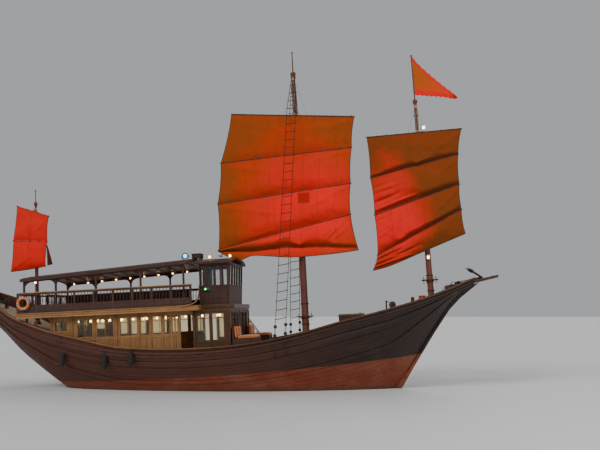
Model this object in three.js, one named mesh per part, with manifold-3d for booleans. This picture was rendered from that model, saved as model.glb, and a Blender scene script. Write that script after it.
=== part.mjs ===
// Chinese junk, a three-masted passenger ship of about 28 m, afloat.
// Millimetres. The ship is drawn upright in its own frame: +X to the bow, +Y to port, +Z up along
// the masts, origin amidships where the centreline meets the water. The last lines trim the whole
// ship by the stern, so that in the finished frame z = 0 is the water.
import * as THREE from 'three';
import { mergeVertices } from 'three/addons/utils/BufferGeometryUtils.js';
import Module from 'manifold-3d';

const wasm = await Module();
wasm.setup();

// Driving dimensions
const TRIM = THREE.MathUtils.degToRad(2.8);
const GAP = 0.3;
const RUN_GAP = 0.6;
const BULWARK = { wall: 80, flare: 45, capOut: 45, capIn: 155, capDepth: 70 };
const KEEL = { half: 110, bottom: -1950, aft: -8990, shoeAft: -9420, shoeTop: -1820 };
const HOUSE = { aft: -9000, fore: 180, inner: 2800, wall: 80, floor: 1700, top: 4080 };
const DECK2 = { aft: -10600, fore: 350, step: -1200, half: 3300, noseHalf: 2350, top: 4300 };
const RAIL = { top: 5330, thick: 60, inset: 10, bar: 90 };
const CANOPY = { aft: -10500, fore: -1850, half: 3050, rise: 240, thick: 90, postY: 2905, post: 90 };
const CANOPY_SLOPE = 0.054;
const CABIN = { aft: -1500, fore: 0, half: 1900, wall: 60, top: 6430, sill: 5300, rake: 120 };
const ROOF = { aft: -1720, fore: 230, half: 2120, rise: 230, thick: 90 };
const SAIL = { sparY: -265, spineR: 34, cloth: 24 };
const RUDDER = { x: -9110, stockR: 90, top: 400, bottom: -1780, chord: 1400, thick: 120 };
const SCREW = { x: -7950, y: 1100, z: -950, r: 420, hubR: 95, blades: 4 };
const SIDES = [['starboard', -1], ['port', 1]];

// Hull stations: x, keel (bottom of the planking), deck at side, half beam at deck,
// fullness power of the section, top of the bulwark
const STATIONS = [
  { x: -14000, keel: 5000, deck: 5180, half: 1760, power: 0.16, rail: 5720 },
  { x: -13000, keel: 4200, deck: 4740, half: 2100, power: 0.16, rail: 5330 },
  { x: -12000, keel: 3350, deck: 4260, half: 2430, power: 0.17, rail: 4850 },
  { x: -11000, keel: 2300, deck: 3660, half: 2740, power: 0.19, rail: 4210 },
  { x: -10000, keel: 1380, deck: 3230, half: 3000, power: 0.23, rail: 3800 },
  { x: -9200, keel: 640, deck: 2920, half: 3180, power: 0.30, rail: 3500 },
  { x: -8400, keel: -60, deck: 2680, half: 3310, power: 0.38, rail: 3260 },
  { x: -7200, keel: -720, deck: 2360, half: 3450, power: 0.44, rail: 2950 },
  { x: -5200, keel: -1280, deck: 2000, half: 3610, power: 0.45, rail: 2480 },
  { x: -2000, keel: -1500, deck: 1830, half: 3740, power: 0.42, rail: 2260 },
  { x: 1000, keel: -1550, deck: 1960, half: 3680, power: 0.42, rail: 2340 },
  { x: 3500, keel: -1500, deck: 2360, half: 3380, power: 0.48, rail: 2700 },
  { x: 5600, keel: -1350, deck: 2850, half: 2980, power: 0.58, rail: 3190 },
  { x: 7200, keel: -900, deck: 3180, half: 2580, power: 0.70, rail: 3510 },
  { x: 8200, keel: -350, deck: 3400, half: 2290, power: 0.78, rail: 3740 },
  { x: 9200, keel: 980, deck: 3640, half: 1970, power: 0.82, rail: 3980 },
  { x: 10200, keel: 2400, deck: 3930, half: 1620, power: 0.82, rail: 4260 },
  { x: 11200, keel: 3740, deck: 4260, half: 1260, power: 0.78, rail: 4590 },
  { x: 11800, keel: 4320, deck: 4490, half: 1050, power: 0.72, rail: 4820 },
  { x: 12400, keel: 4680, deck: 4740, half: 860, power: 0.72, rail: 5040 },
];
const STATION_STEP = 880;

// Section of the planking: height share from keel to deck, and how far a wale stands out there
const SECTION = [
  { share: 0, out: 0 }, { share: 0.015, out: 0 }, { share: 0.05, out: 0 }, { share: 0.12, out: 0 },
  { share: 0.24, out: 0 }, { share: 0.4, out: 0 }, { share: 0.58, out: 0 }, { share: 0.581, out: 55 },
  { share: 0.64, out: 55 }, { share: 0.641, out: 0 }, { share: 0.84, out: 0 }, { share: 0.841, out: 60 },
  { share: 0.93, out: 60 }, { share: 0.931, out: 0 }, { share: 1, out: 0 },
];

// Colours of the plain model
const PAINT = {
  hull: [0x4a1f18, 0.7, 0], boot: [0xb1432a, 0.7, 0], tan: [0xb07a34, 0.6, 0], deck: [0x8a6238, 0.8, 0],
  dark: [0x2b1712, 0.65, 0], mast: [0x5a1e18, 0.6, 0], sail: [0xe0481e, 0.9, 0], flag: [0xf07a20, 0.9, 0],
  rope: [0x8d7b58, 0.95, 0], iron: [0x2c2d2f, 0.5, 0.8], bronze: [0xa8793a, 0.4, 0.9],
  orange: [0xe2702a, 0.9, 0], roof: [0x3a2620, 0.75, 0],
};

// Slopes at the stations for a fair curve through any column of the table
function fairValue(x, column) {
  const last = STATIONS.length - 1;
  let i = 0;
  while (i < last - 1 && x > STATIONS[i + 1].x) i += 1;
  const slope = (k) => {
    const a = STATIONS[Math.max(k - 1, 0)];
    const b = STATIONS[Math.min(k + 1, last)];
    return (b[column] - a[column]) / (b.x - a.x);
  };
  const p = STATIONS[i];
  const q = STATIONS[i + 1];
  const span = q.x - p.x;
  const t = (x - p.x) / span;
  const rest = 1 - t;
  return p[column] * rest * rest * (1 + 2 * t) + q[column] * t * t * (1 + 2 * rest)
    + span * t * rest * (slope(i) * rest - slope(i + 1) * t);
}

function stationList() {
  const first = STATIONS[0].x;
  const last = STATIONS[STATIONS.length - 1].x;
  const count = Math.round((last - first) / STATION_STEP);
  return Array.from({ length: count + 1 }, (_, i) => first + ((last - first) * i) / count);
}
const STATION_X = stationList();

// A column's value on the drawn hull, which runs straight from one drawn station to the next
function drawnValue(x, column) {
  let i = 0;
  while (i < STATION_X.length - 2 && x > STATION_X[i + 1]) i += 1;
  const a = STATION_X[i];
  const b = STATION_X[i + 1];
  const t = (x - a) / (b - a);
  return fairValue(a, column) * (1 - t) + fairValue(b, column) * t;
}
const deckAt = (x) => drawnValue(x, 'deck');
const railAt = (x) => drawnValue(x, 'rail');
const highestDeck = (x0, x1) => Math.max(deckAt(x0), deckAt(x1));

// Solids
function toSolid(geometry) {
  const bare = geometry.clone();
  bare.deleteAttribute('normal');
  bare.deleteAttribute('uv');
  const merged = mergeVertices(bare, 1e-3);
  return new wasm.Manifold(new wasm.Mesh({
    numProp: 3,
    vertProperties: new Float32Array(merged.attributes.position.array),
    triVerts: new Uint32Array(merged.index.array),
  }));
}

function fromSolid(solid) {
  const mesh = solid.getMesh();
  const geometry = new THREE.BufferGeometry();
  geometry.setAttribute('position', new THREE.BufferAttribute(new Float32Array(mesh.vertProperties), 3));
  geometry.setIndex(new THREE.BufferAttribute(new Uint32Array(mesh.triVerts), 1));
  return geometry;
}
const union = (...list) => fromSolid(list.map(toSolid).reduce((a, b) => a.add(b)));
const cut = (body, ...tools) => fromSolid(tools.map(toSolid).reduce((a, b) => a.subtract(b), toSolid(body)));

const box = (x0, x1, y0, y1, z0, z1) => new THREE.BoxGeometry(x1 - x0, y1 - y0, z1 - z0)
  .translate((x0 + x1) / 2, (y0 + y1) / 2, (z0 + z1) / 2);

const outline = (points) => new THREE.Shape(points.map(([a, b]) => new THREE.Vector2(a, b)));
const extrude = (shape, depth) => new THREE.ExtrudeGeometry(shape, { depth, bevelEnabled: false, curveSegments: 8 });
const rectangle = (a0, a1, b0, b1) => [[a0, b0], [a1, b0], [a1, b1], [a0, b1]];

// A plate whose openings are prisms that pass right through it
function pierced(draw, points, holes, low, high) {
  const plate = draw(points, low, high);
  return holes.length ? cut(plate, ...holes.map((hole) => draw(hole, low - 10, high + 10))) : plate;
}
const standFore = (points, y0, y1) => extrude(outline(points), y1 - y0).rotateX(Math.PI / 2).translate(0, y1, 0);
const standCross = (points, x0, x1) => extrude(outline(points), x1 - x0)
  .applyMatrix4(new THREE.Matrix4().set(0, 0, 1, 0, 1, 0, 0, 0, 0, 1, 0, 0, 0, 0, 0, 1)).translate(x0, 0, 0);
// A plate standing fore and aft, drawn in x and z, from y0 to y1
const sidePlate = (points, holes, y0, y1) => pierced(standFore, points, holes, y0, y1);
// A plate standing athwartships, drawn in y and z, from x0 to x1
const crossPlate = (points, holes, x0, x1) => pierced(standCross, points, holes, x0, x1);

function rod(from, to, r0, r1 = r0, sides = 12) {
  const a = new THREE.Vector3(...from);
  const b = new THREE.Vector3(...to);
  const along = b.clone().sub(a);
  const turn = new THREE.Quaternion().setFromUnitVectors(new THREE.Vector3(0, 1, 0), along.clone().normalize());
  return new THREE.CylinderGeometry(r1, r0, along.length(), sides)
    .applyQuaternion(turn).translate(...a.add(b).multiplyScalar(0.5).toArray());
}

// A body through rings of like points, each ring at one x, closed at both ends
function loft(drawn) {
  const flatten = (ring) => ring.map(([, y, z]) => new THREE.Vector2(y, z));
  const rings = THREE.ShapeUtils.area(flatten(drawn[0])) > 0 ? drawn : drawn.map((ring) => ring.slice().reverse());
  const n = rings[0].length;
  const faces = [];
  for (let i = 0; i < rings.length - 1; i += 1) {
    for (let j = 0; j < n; j += 1) {
      const a = i * n + j;
      const b = i * n + ((j + 1) % n);
      faces.push([a, b, b + n], [a, b + n, a + n]);
    }
  }
  const lastStart = (rings.length - 1) * n;
  THREE.ShapeUtils.triangulateShape(flatten(rings[0]), []).forEach(([p, q, r]) => faces.push([r, q, p]));
  THREE.ShapeUtils.triangulateShape(flatten(rings[rings.length - 1]), [])
    .forEach(([p, q, r]) => faces.push([lastStart + p, lastStart + q, lastStart + r]));
  const geometry = new THREE.BufferGeometry();
  geometry.setAttribute('position', new THREE.Float32BufferAttribute(rings.flat(2), 3));
  geometry.setIndex(faces.flat());
  return geometry;
}

const ship = new THREE.Group();
function piece(name, geometry, [color, roughness, metalness]) {
  const mesh = new THREE.Mesh(geometry, new THREE.MeshStandardMaterial({ color, roughness, metalness }));
  mesh.name = name;
  ship.add(mesh);
}

// Hull: decked solid, with the cabin's sole sunk in it
function hullRing(x) {
  const keel = fairValue(x, 'keel');
  const deck = fairValue(x, 'deck');
  const half = fairValue(x, 'half');
  const power = fairValue(x, 'power');
  const side = SECTION.map(({ share, out }) => [half * share ** power + out, keel + (deck - keel) * share]);
  const port = side.map(([y, z]) => [x, y, z]);
  const starboard = side.slice(1).reverse().map(([y, z]) => [x, -y, z]);
  return [...port, ...starboard];
}
const hullBody = loft(STATION_X.map(hullRing));
const well = box(HOUSE.aft + HOUSE.wall, HOUSE.fore - HOUSE.wall, -HOUSE.inner, HOUSE.inner, HOUSE.floor, 9000);
const hull = cut(hullBody, well);
piece('hull', hull, PAINT.hull);

// Bulwarks with their cap rail, standing on the deck edge
function bulwarkRing(x, side) {
  const foot = fairValue(x, 'deck') + GAP;
  const top = fairValue(x, 'rail');
  const low = fairValue(x, 'half');
  const high = low + BULWARK.flare;
  const under = top - BULWARK.capDepth;
  const section = [
    [low, foot], [high, under - 10], [high + BULWARK.capOut, under], [high + BULWARK.capOut, top],
    [high - BULWARK.capIn, top], [high - BULWARK.capIn, under], [high - BULWARK.wall, under - 14],
    [low - BULWARK.wall, foot],
  ];
  return section.map(([y, z]) => [x, side * y, z]);
}
SIDES.forEach(([name, side]) => {
  piece(`bulwark_${name}`, loft(STATION_X.map((x) => bulwarkRing(x, side))), PAINT.hull);
});

// Stern board, closing the bulwarks aft under a crowned top
const sternX = STATION_X[0] - GAP;
piece('stern_board', crossPlate([
  [-1700, 5020], [1700, 5020], [1850, 5700], [1500, 5920], [800, 6060], [-800, 6060], [-1500, 5920], [-1850, 5700],
], [], sternX - 90, sternX), PAINT.dark);

// Keel, deadwood and stem in one timber, under the planking
function keelOutline() {
  const top = STATION_X.filter((x) => x > KEEL.aft && x < 11100).map((x) => [x, fairValue(x, 'keel') - GAP]);
  const aftTop = [KEEL.aft, fairValue(KEEL.aft, 'keel') - 20];
  const stem = [[11150, 3480], [10250, 2250], [9300, 860], [8560, -280], [7900, -1020], [6900, -1560], [5400, -1850]];
  const foot = [[3800, KEEL.bottom], [KEEL.shoeAft, KEEL.bottom], [KEEL.shoeAft, KEEL.shoeTop]];
  return [aftTop, ...top, ...stem, ...foot, [KEEL.aft, KEEL.shoeTop]];
}
const keelTimber = sidePlate(keelOutline(), [], -KEEL.half, KEEL.half);
piece('keel', cut(keelTimber, hullBody.clone().translate(0, 0, -GAP)), PAINT.boot);

// Rudder: pierced blade on a stock that turns in the keel's shoe
function rudderBody() {
  const { x, stockR, top, bottom, chord, thick } = RUDDER;
  const lozenge = (cx, cz) => [[cx - 70, cz], [cx, cz - 120], [cx + 70, cz], [cx, cz + 120]];
  const holes = [];
  for (let row = 0; row < 5; row += 1) {
    for (let column = 0; column < 3; column += 1) {
      holes.push(lozenge(x - 420 - column * 330, bottom + 330 + row * 380));
    }
  }
  const blade = sidePlate([
    [x, bottom], [x - chord * 0.9, bottom + 160], [x - chord, bottom + 700], [x - chord * 0.96, top], [x, top],
  ], holes, -thick / 2, thick / 2);
  const stock = rod([x, 0, KEEL.shoeTop + RUN_GAP], [x, 0, fairValue(x, 'keel') - 150], stockR);
  return union(blade, stock);
}
piece('rudder', rudderBody(), PAINT.boot);

// Screws and the brackets that carry their shafts
function screwBody(y) {
  const { x, z, r, hubR, blades } = SCREW;
  const leaf = extrude(new THREE.Shape().absellipse(r * 0.58, 0, r * 0.42, r * 0.3, 0, Math.PI * 2), 24)
    .translate(0, 0, -12).rotateX(THREE.MathUtils.degToRad(35));
  const hub = rod([x - 150, y, z], [x + 150, y, z], hubR * 0.7, hubR);
  const leaves = Array.from({ length: blades }, (_, i) => leaf.clone()
    .applyMatrix4(new THREE.Matrix4().set(0, 0, 1, 0, 1, 0, 0, 0, 0, 1, 0, 0, 0, 0, 0, 1))
    .rotateX((i * 2 * Math.PI) / blades).translate(x, y, z));
  return union(hub, ...leaves);
}
function bracketBody(y) {
  const { x, z } = SCREW;
  const end = x + 150 + RUN_GAP;
  const tube = rod([end, y, z], [-4700, y, z], 75);
  const arms = [-1, 1].map((s) => rod([end + 90, y, z], [end + 90, y + s * 380, z + 1100], 42, 60, 6));
  return cut(union(tube, ...arms), hullBody.clone().translate(0, 0, -0.6));
}
SIDES.forEach(([name, side]) => {
  piece(`screw_${name}`, screwBody(side * SCREW.y), PAINT.bronze);
  piece(`shaft_bracket_${name}`, bracketBody(side * SCREW.y), PAINT.iron);
});

// Deckhouse windows and doorway: first x, last x, sill z, head z
const SIDE_LIGHTS = [
  [-8780, -8140, 3340, 3840], [-7600, -6820, 3000, 3880], [-6600, -5740, 2960, 3880],
  [-5400, -4520, 2960, 3880], [-4340, -3900, 2960, 3880], [-3730, -3300, 2960, 3880],
  [-3130, -2820, 2960, 3880], [-2730, -2430, 2960, 3880],
  [-1500, -850, 2560, 3880], [-700, -120, 2560, 3880],
];
const DOORWAY = { aft: -2310, fore: -1660, sill: 1960, head: 3870 };
const DOOR = { width: 700, thick: 40, clear: 6, bottom: 1760, top: 3899 };

// Deckhouse sides, front and aft end
function houseSide(side) {
  const between = STATION_X.filter((x) => x > HOUSE.aft && x < HOUSE.fore).reverse();
  const foot = [HOUSE.fore, ...between, HOUSE.aft]
    .map((x) => [x, deckAt(x) + GAP]);
  const wall = [...foot, [HOUSE.aft, HOUSE.top - GAP], [HOUSE.fore, HOUSE.top - GAP]];
  const holes = SIDE_LIGHTS.map(([x0, x1, z0, z1]) => rectangle(x0, x1, z0, z1));
  holes.push(rectangle(DOORWAY.aft, DOORWAY.fore, DOORWAY.sill, DOORWAY.head));
  const near = HOUSE.inner;
  const far = HOUSE.inner + HOUSE.wall;
  const panel = sidePlate(wall, holes, Math.min(side * near, side * far), Math.max(side * near, side * far));
  const trackY = [side * (near + 20), side * (near - 60)].sort((a, b) => a - b);
  const track = box(DOORWAY.aft - DOOR.width - 100, DOORWAY.fore + 90, ...trackY, DOOR.top + RUN_GAP, DOOR.top + 60);
  return union(panel, track);
}
SIDES.forEach(([name, side]) => piece(`house_side_${name}`, houseSide(side), PAINT.tan));

const frontLights = [-2100, -1180, 360, 1280].map((y) => rectangle(y, y + 740, 2560, 3880));
const frontSill = highestDeck(HOUSE.fore - HOUSE.wall, HOUSE.fore) + GAP;
piece('house_front', crossPlate(
  rectangle(-HOUSE.inner + GAP, HOUSE.inner - GAP, frontSill, HOUSE.top - GAP),
  frontLights, HOUSE.fore - HOUSE.wall + GAP, HOUSE.fore,
), PAINT.tan);
const aftSill = highestDeck(HOUSE.aft, HOUSE.aft + HOUSE.wall) + GAP;
piece('house_aft', crossPlate(
  rectangle(-HOUSE.inner + GAP, HOUSE.inner - GAP, aftSill, HOUSE.top - GAP),
  [-2300, -900, 500, 1600].map((y) => rectangle(y, y + 700, 3300, 3840)), HOUSE.aft, HOUSE.aft + HOUSE.wall - GAP,
), PAINT.tan);

// Sliding doors, open at rest, hung inside each wall
SIDES.forEach(([name, side]) => {
  const near = side * (HOUSE.inner - DOOR.clear);
  const far = side * (HOUSE.inner - DOOR.clear - DOOR.thick);
  const fore = DOORWAY.aft - 20;
  const aft = fore - DOOR.width;
  const leaf = sidePlate(
    rectangle(aft, fore, DOOR.bottom, DOOR.top),
    [rectangle(aft + 110, fore - 110, 2960, 3780)], Math.min(near, far), Math.max(near, far),
  );
  piece(`door_${name}`, leaf, PAINT.dark);
});

// Seats and a long table in the cabin
const bench = (x0, x1, side, floor, near, far, seat, back) => union(
  box(x0, x1, Math.min(side * near, side * far), Math.max(side * near, side * far), floor + GAP, floor + seat),
  box(x0, x1, Math.min(side * (far - 90), side * far), Math.max(side * (far - 90), side * far), floor + 100, floor + back),
);
SIDES.forEach(([name, side]) => {
  piece(`cabin_bench_${name}`, bench(-8500, -3350, side, HOUSE.floor, 2150, 2740, 430, 900), PAINT.tan);
});
const tableLegs = [-7700, -5900, -4100].map((x) => rod([x, 0, HOUSE.floor + GAP], [x, 0, 2430], 90, 60, 8));
piece('cabin_table', union(box(-8100, -3700, -450, 450, 2400, 2450), ...tableLegs), PAINT.deck);

// Upper deck with its aft legs, and a nose under the wheelhouse
function upperDeck() {
  const { aft, fore, step, half, noseHalf, top } = DECK2;
  const shape = new THREE.Shape();
  shape.moveTo(aft, -half);
  shape.lineTo(step - 350, -half);
  shape.quadraticCurveTo(step, -half, step, -half + 350);
  shape.lineTo(step, -noseHalf);
  shape.lineTo(fore, -noseHalf);
  shape.lineTo(fore, noseHalf);
  shape.lineTo(step, noseHalf);
  shape.lineTo(step, half - 350);
  shape.quadraticCurveTo(step, half, step - 350, half);
  shape.lineTo(aft, half);
  const slab = extrude(shape, top - HOUSE.top).translate(0, 0, HOUSE.top);
  const legX = aft + 160;
  const legFoot = highestDeck(legX - 50, legX + 50) + GAP;
  const legs = [-1, 1].map((s) => box(legX - 50, legX + 50, s * 2450 - 50, s * 2450 + 50, legFoot, HOUSE.top + 40));
  return union(slab, ...legs);
}
piece('upper_deck', upperDeck(), PAINT.tan);

// Rails of the upper deck: posts every bay, a top bar and a lower panel, turning the corner aft
const RAIL_BAYS = 9;
const AFT_BAYS = 3;
const GATE = { half: 480, pinR: 22 };
const aftRailX = [DECK2.aft + 10, DECK2.aft + 10 + RAIL.thick];
const railBays = (low, high, count) => {
  const bay = (high - low - RAIL.bar) / count;
  return Array.from({ length: count }, (_, i) => rectangle(
    low + RAIL.bar + i * bay, low + (i + 1) * bay, DECK2.top + 420, RAIL.top - RAIL.bar,
  ));
};
SIDES.forEach(([name, side]) => {
  const outer = DECK2.half - RAIL.inset;
  const y = [side * outer, side * (outer - RAIL.thick)].sort((a, b) => a - b);
  const x = [aftRailX[0], DECK2.step - 400];
  const along = sidePlate(rectangle(...x, DECK2.top + GAP, RAIL.top), railBays(...x, RAIL_BAYS), ...y);
  const edge = [side * outer, side * (GATE.half + GATE.pinR + RUN_GAP)].sort((a, b) => a - b);
  const across = crossPlate(
    rectangle(...edge, DECK2.top + GAP, RAIL.top), railBays(...edge, AFT_BAYS), ...aftRailX,
  );
  piece(`upper_rail_${name}`, union(along, across), PAINT.dark);
});
const gateX = (aftRailX[0] + aftRailX[1]) / 2;
piece('aft_gate', union(
  crossPlate(
    rectangle(-GATE.half, GATE.half - 10, DECK2.top + 60, RAIL.top - 20),
    [rectangle(-GATE.half + 90, GATE.half - 100, DECK2.top + 480, RAIL.top - 110)], gateX - 20, gateX + 20,
  ),
  rod([gateX, -GATE.half, DECK2.top + 60], [gateX, -GATE.half, RAIL.top - 20], GATE.pinR, GATE.pinR, 16),
), PAINT.dark);

// Awning over the upper deck: an arched roof that rises forward, on two rows of posts
const canopyEdge = (x) => 6230 + (x + 5890) * CANOPY_SLOPE;
const ARCH_STEPS = 8;
const archRise = (u) => 1 - u * u;
function archRing(x, edge, half, rise, thick) {
  const arc = Array.from({ length: ARCH_STEPS + 1 }, (_, i) => -1 + (2 * i) / ARCH_STEPS);
  const under = arc.map((u) => [x, u * half, edge + rise * archRise(u)]);
  const over = arc.map((u) => [x, -u * half, edge + thick + rise * archRise(u)]);
  return [...under, ...over];
}
const canopyRing = (x) => archRing(x, canopyEdge(x), CANOPY.half, CANOPY.rise, CANOPY.thick);
piece('canopy_roof', loft([canopyRing(CANOPY.aft), canopyRing(CANOPY.fore)]), PAINT.roof);
const CANOPY_POSTS = [-10350, -8680, -6580, -4270, -2070];
SIDES.forEach(([name, side]) => {
  const halfPost = CANOPY.post / 2;
  const lastChord = 1 - 2 / ARCH_STEPS;
  const chordShare = (1 - (CANOPY.postY + halfPost) / CANOPY.half) / (1 - lastChord);
  const archDrop = CANOPY.rise * archRise(lastChord) * chordShare;
  const headTop = (x) => canopyEdge(x) + archDrop - 1;
  const headLow = (x) => headTop(x) - 120;
  const foot = [];
  CANOPY_POSTS.forEach((x, i) => {
    if (i > 0) foot.push([x - halfPost, headLow(x - halfPost)]);
    foot.push([x - halfPost, DECK2.top + GAP], [x + halfPost, DECK2.top + GAP]);
    if (i < CANOPY_POSTS.length - 1) foot.push([x + halfPost, headLow(x + halfPost)]);
  });
  const last = CANOPY_POSTS[CANOPY_POSTS.length - 1] + halfPost;
  const first = CANOPY_POSTS[0] - halfPost;
  const comb = [...foot, [last, headTop(last)], [first, headTop(first)]];
  const y = [side * (CANOPY.postY - halfPost), side * (CANOPY.postY + halfPost)].sort((a, b) => a - b);
  piece(`canopy_frame_${name}`, sidePlate(comb, [], ...y), PAINT.dark);
});

// Benches back to back on the upper deck
piece('upper_bench', union(
  box(-9300, -2500, -560, 560, DECK2.top + GAP, DECK2.top + 430),
  box(-9300, -2500, -45, 45, DECK2.top + 400, DECK2.top + 880),
), PAINT.dark);

// Wheelhouse: panels with big windows, the front raked forward
const cabinFrontX = (z) => CABIN.fore + (CABIN.rake * (z - DECK2.top)) / (CABIN.top - DECK2.top);
const CABIN_LIGHTS = [[-1430, -1170], [-1090, -730], [-650, -330], [-250, -60]];
SIDES.forEach(([name, side]) => {
  const y = [side * (CABIN.half - CABIN.wall), side * CABIN.half].sort((a, b) => a - b);
  const wall = [
    [CABIN.aft, DECK2.top + GAP], [CABIN.fore, DECK2.top + GAP],
    [cabinFrontX(CABIN.top - GAP), CABIN.top - GAP], [CABIN.aft, CABIN.top - GAP],
  ];
  const holes = CABIN_LIGHTS.map(([x0, x1]) => rectangle(x0, x1, CABIN.sill, CABIN.top - 130));
  piece(`wheelhouse_side_${name}`, sidePlate(wall, holes, ...y), PAINT.dark);
});
const cabinInner = CABIN.half - CABIN.wall - GAP;
function cabinFront() {
  const holes = [-1740, -1000, -330, 410, 1140].map((y) => rectangle(y, y + 600, CABIN.sill, CABIN.top - 130));
  const panel = crossPlate(rectangle(-cabinInner, cabinInner, DECK2.top + GAP, CABIN.top - GAP), holes, -CABIN.wall, 0);
  const lean = CABIN.rake / (CABIN.top - DECK2.top);
  const shear = new THREE.Matrix4().set(1, 0, lean, CABIN.fore - 2 - lean * DECK2.top, 0, 1, 0, 0, 0, 0, 1, 0, 0, 0, 0, 1);
  return panel.applyMatrix4(shear);
}
piece('wheelhouse_front', cabinFront(), PAINT.dark);
piece('wheelhouse_aft', crossPlate(
  rectangle(-cabinInner, cabinInner, DECK2.top + GAP, CABIN.top - GAP),
  [rectangle(-1640, -1040, CABIN.sill, CABIN.top - 130), rectangle(-430, 430, DECK2.top + 60, CABIN.top - 130),
    rectangle(1040, 1640, CABIN.sill, CABIN.top - 130)], CABIN.aft, CABIN.aft + CABIN.wall,
), PAINT.dark);
const roofRing = (x) => archRing(x, CABIN.top, ROOF.half, ROOF.rise, ROOF.thick);
function wheelhouseRoof() {
  const shell = loft([roofRing(ROOF.aft), roofRing(ROOF.fore)]);
  const plate = box(CABIN.aft + 20, CABIN.fore + 60, -CABIN.half + 10, CABIN.half - 10, CABIN.top, CABIN.top + 60);
  return union(shell, plate);
}
piece('wheelhouse_roof', wheelhouseRoof(), PAINT.roof);

// Steering stand and the ship's wheel on it
const WHEEL = { x: -640, z: 5080, r: 360, spokes: 8 };
piece('wheel_stand', union(
  box(-520, -260, -220, 220, DECK2.top + GAP, 5240),
  rod([-560, 0, WHEEL.z], [-500, 0, WHEEL.z], 55, 55, 16),
), PAINT.tan);
function wheelBody() {
  const rim = new THREE.TorusGeometry(WHEEL.r * 0.8, 24, 5, 16).rotateY(Math.PI / 2).translate(WHEEL.x, 0, WHEEL.z);
  const spokes = Array.from({ length: WHEEL.spokes }, (_, i) => {
    const a = (i * 2 * Math.PI) / WHEEL.spokes;
    return rod([WHEEL.x, 0, WHEEL.z], [WHEEL.x, WHEEL.r * Math.cos(a), WHEEL.z + WHEEL.r * Math.sin(a)], 16, 14, 5);
  });
  const hub = rod([WHEEL.x - 45, 0, WHEEL.z], [-560 - RUN_GAP, 0, WHEEL.z], 60, 60, 16);
  return union(rim, hub, ...spokes);
}
piece('ships_wheel', wheelBody(), PAINT.bronze);

// Stair on the port side deck, up to the upper deck
function stairBody(x0, x1, z0, z1, y0, y1, treads) {
  const steps = [];
  for (let i = 0; i < treads; i += 1) {
    const t = (i + 0.5) / treads;
    const x = x0 + (x1 - x0) * t;
    steps.push(box(x - 110, x + 110, y0 + 10, y1 - 10, z0 + (z1 - z0) * t - 20, z0 + (z1 - z0) * t + 20));
  }
  const lean = 130;
  const stringer = [[x0, z0], [x0 - Math.sign(x0 - x1) * lean * 2, z0], [x1, z1 - lean], [x1, z1], [x0, z0 + lean]];
  const sides = [[y0, y0 + 40], [y1 - 40, y1]].map(([a, b]) => sidePlate(stringer, [], a, b));
  return union(...sides, ...steps);
}
const STAIR = { foot: 560, head: DECK2.step + 130, near: HOUSE.inner + HOUSE.wall + GAP, width: 580, treads: 9 };
piece('side_stair', stairBody(
  STAIR.foot, STAIR.head, deckAt(STAIR.foot) + GAP, DECK2.top - 20, STAIR.near, STAIR.near + STAIR.width, STAIR.treads,
), PAINT.deck);
// Masts: foot and head in x and z, radius at foot, middle and hounds, height of the hounds, pole's radius
const mastFoot = (x, reach) => highestDeck(x - reach, x + reach) + GAP;
const MASTS = {
  main: { foot: [3668, mastFoot(3668, 280)], head: [3640, 17790], radii: [190, 165, 105], hounds: 16500, pole: 34 },
  fore: { foot: [10272, mastFoot(10272, 250)], head: [10030, 17100], radii: [160, 130, 80], hounds: 14500, pole: 36 },
  mizzen: { foot: [-10930, mastFoot(-10930, 200)], head: [-10930, 11130], radii: [110, 90, 55], hounds: 10300, pole: 24 },
};
const mastX = (m, z) => m.foot[0] + ((m.head[0] - m.foot[0]) * (z - m.foot[1])) / (m.head[1] - m.foot[1]);
function mastRadius(m, z) {
  const middle = (m.foot[1] + m.hounds) / 2;
  const [low, mid, top] = m.radii;
  return z < middle
    ? low + ((mid - low) * (z - m.foot[1])) / (middle - m.foot[1])
    : mid + ((top - mid) * (z - middle)) / (m.hounds - middle);
}
function mastBody(m) {
  const [low, mid, top] = m.radii;
  const height = m.head[1] - m.foot[1];
  const hounds = m.hounds - m.foot[1];
  const profile = [
    [0, 0], [low + 90, 0], [low + 90, 120], [low, 150], [mid, hounds / 2], [top, hounds - 40], [top + 45, hounds],
    [top + 45, hounds + 120], [m.pole, hounds + 160], [m.pole * 0.8, height - 90], [m.pole * 1.6, height - 60],
    [m.pole * 1.6, height - 20], [0, height],
  ];
  const body = new THREE.LatheGeometry(profile.map(([r, z]) => new THREE.Vector2(r, z)), 16).rotateX(Math.PI / 2);
  const lean = (m.head[0] - m.foot[0]) / height;
  const shear = new THREE.Matrix4().set(1, 0, lean, m.foot[0], 0, 1, 0, 0, 0, 0, 1, m.foot[1], 0, 0, 0, 1);
  return body.applyMatrix4(shear);
}
Object.entries(MASTS).forEach(([name, m]) => piece(`${name}_mast`, mastBody(m), PAINT.mast));

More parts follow.
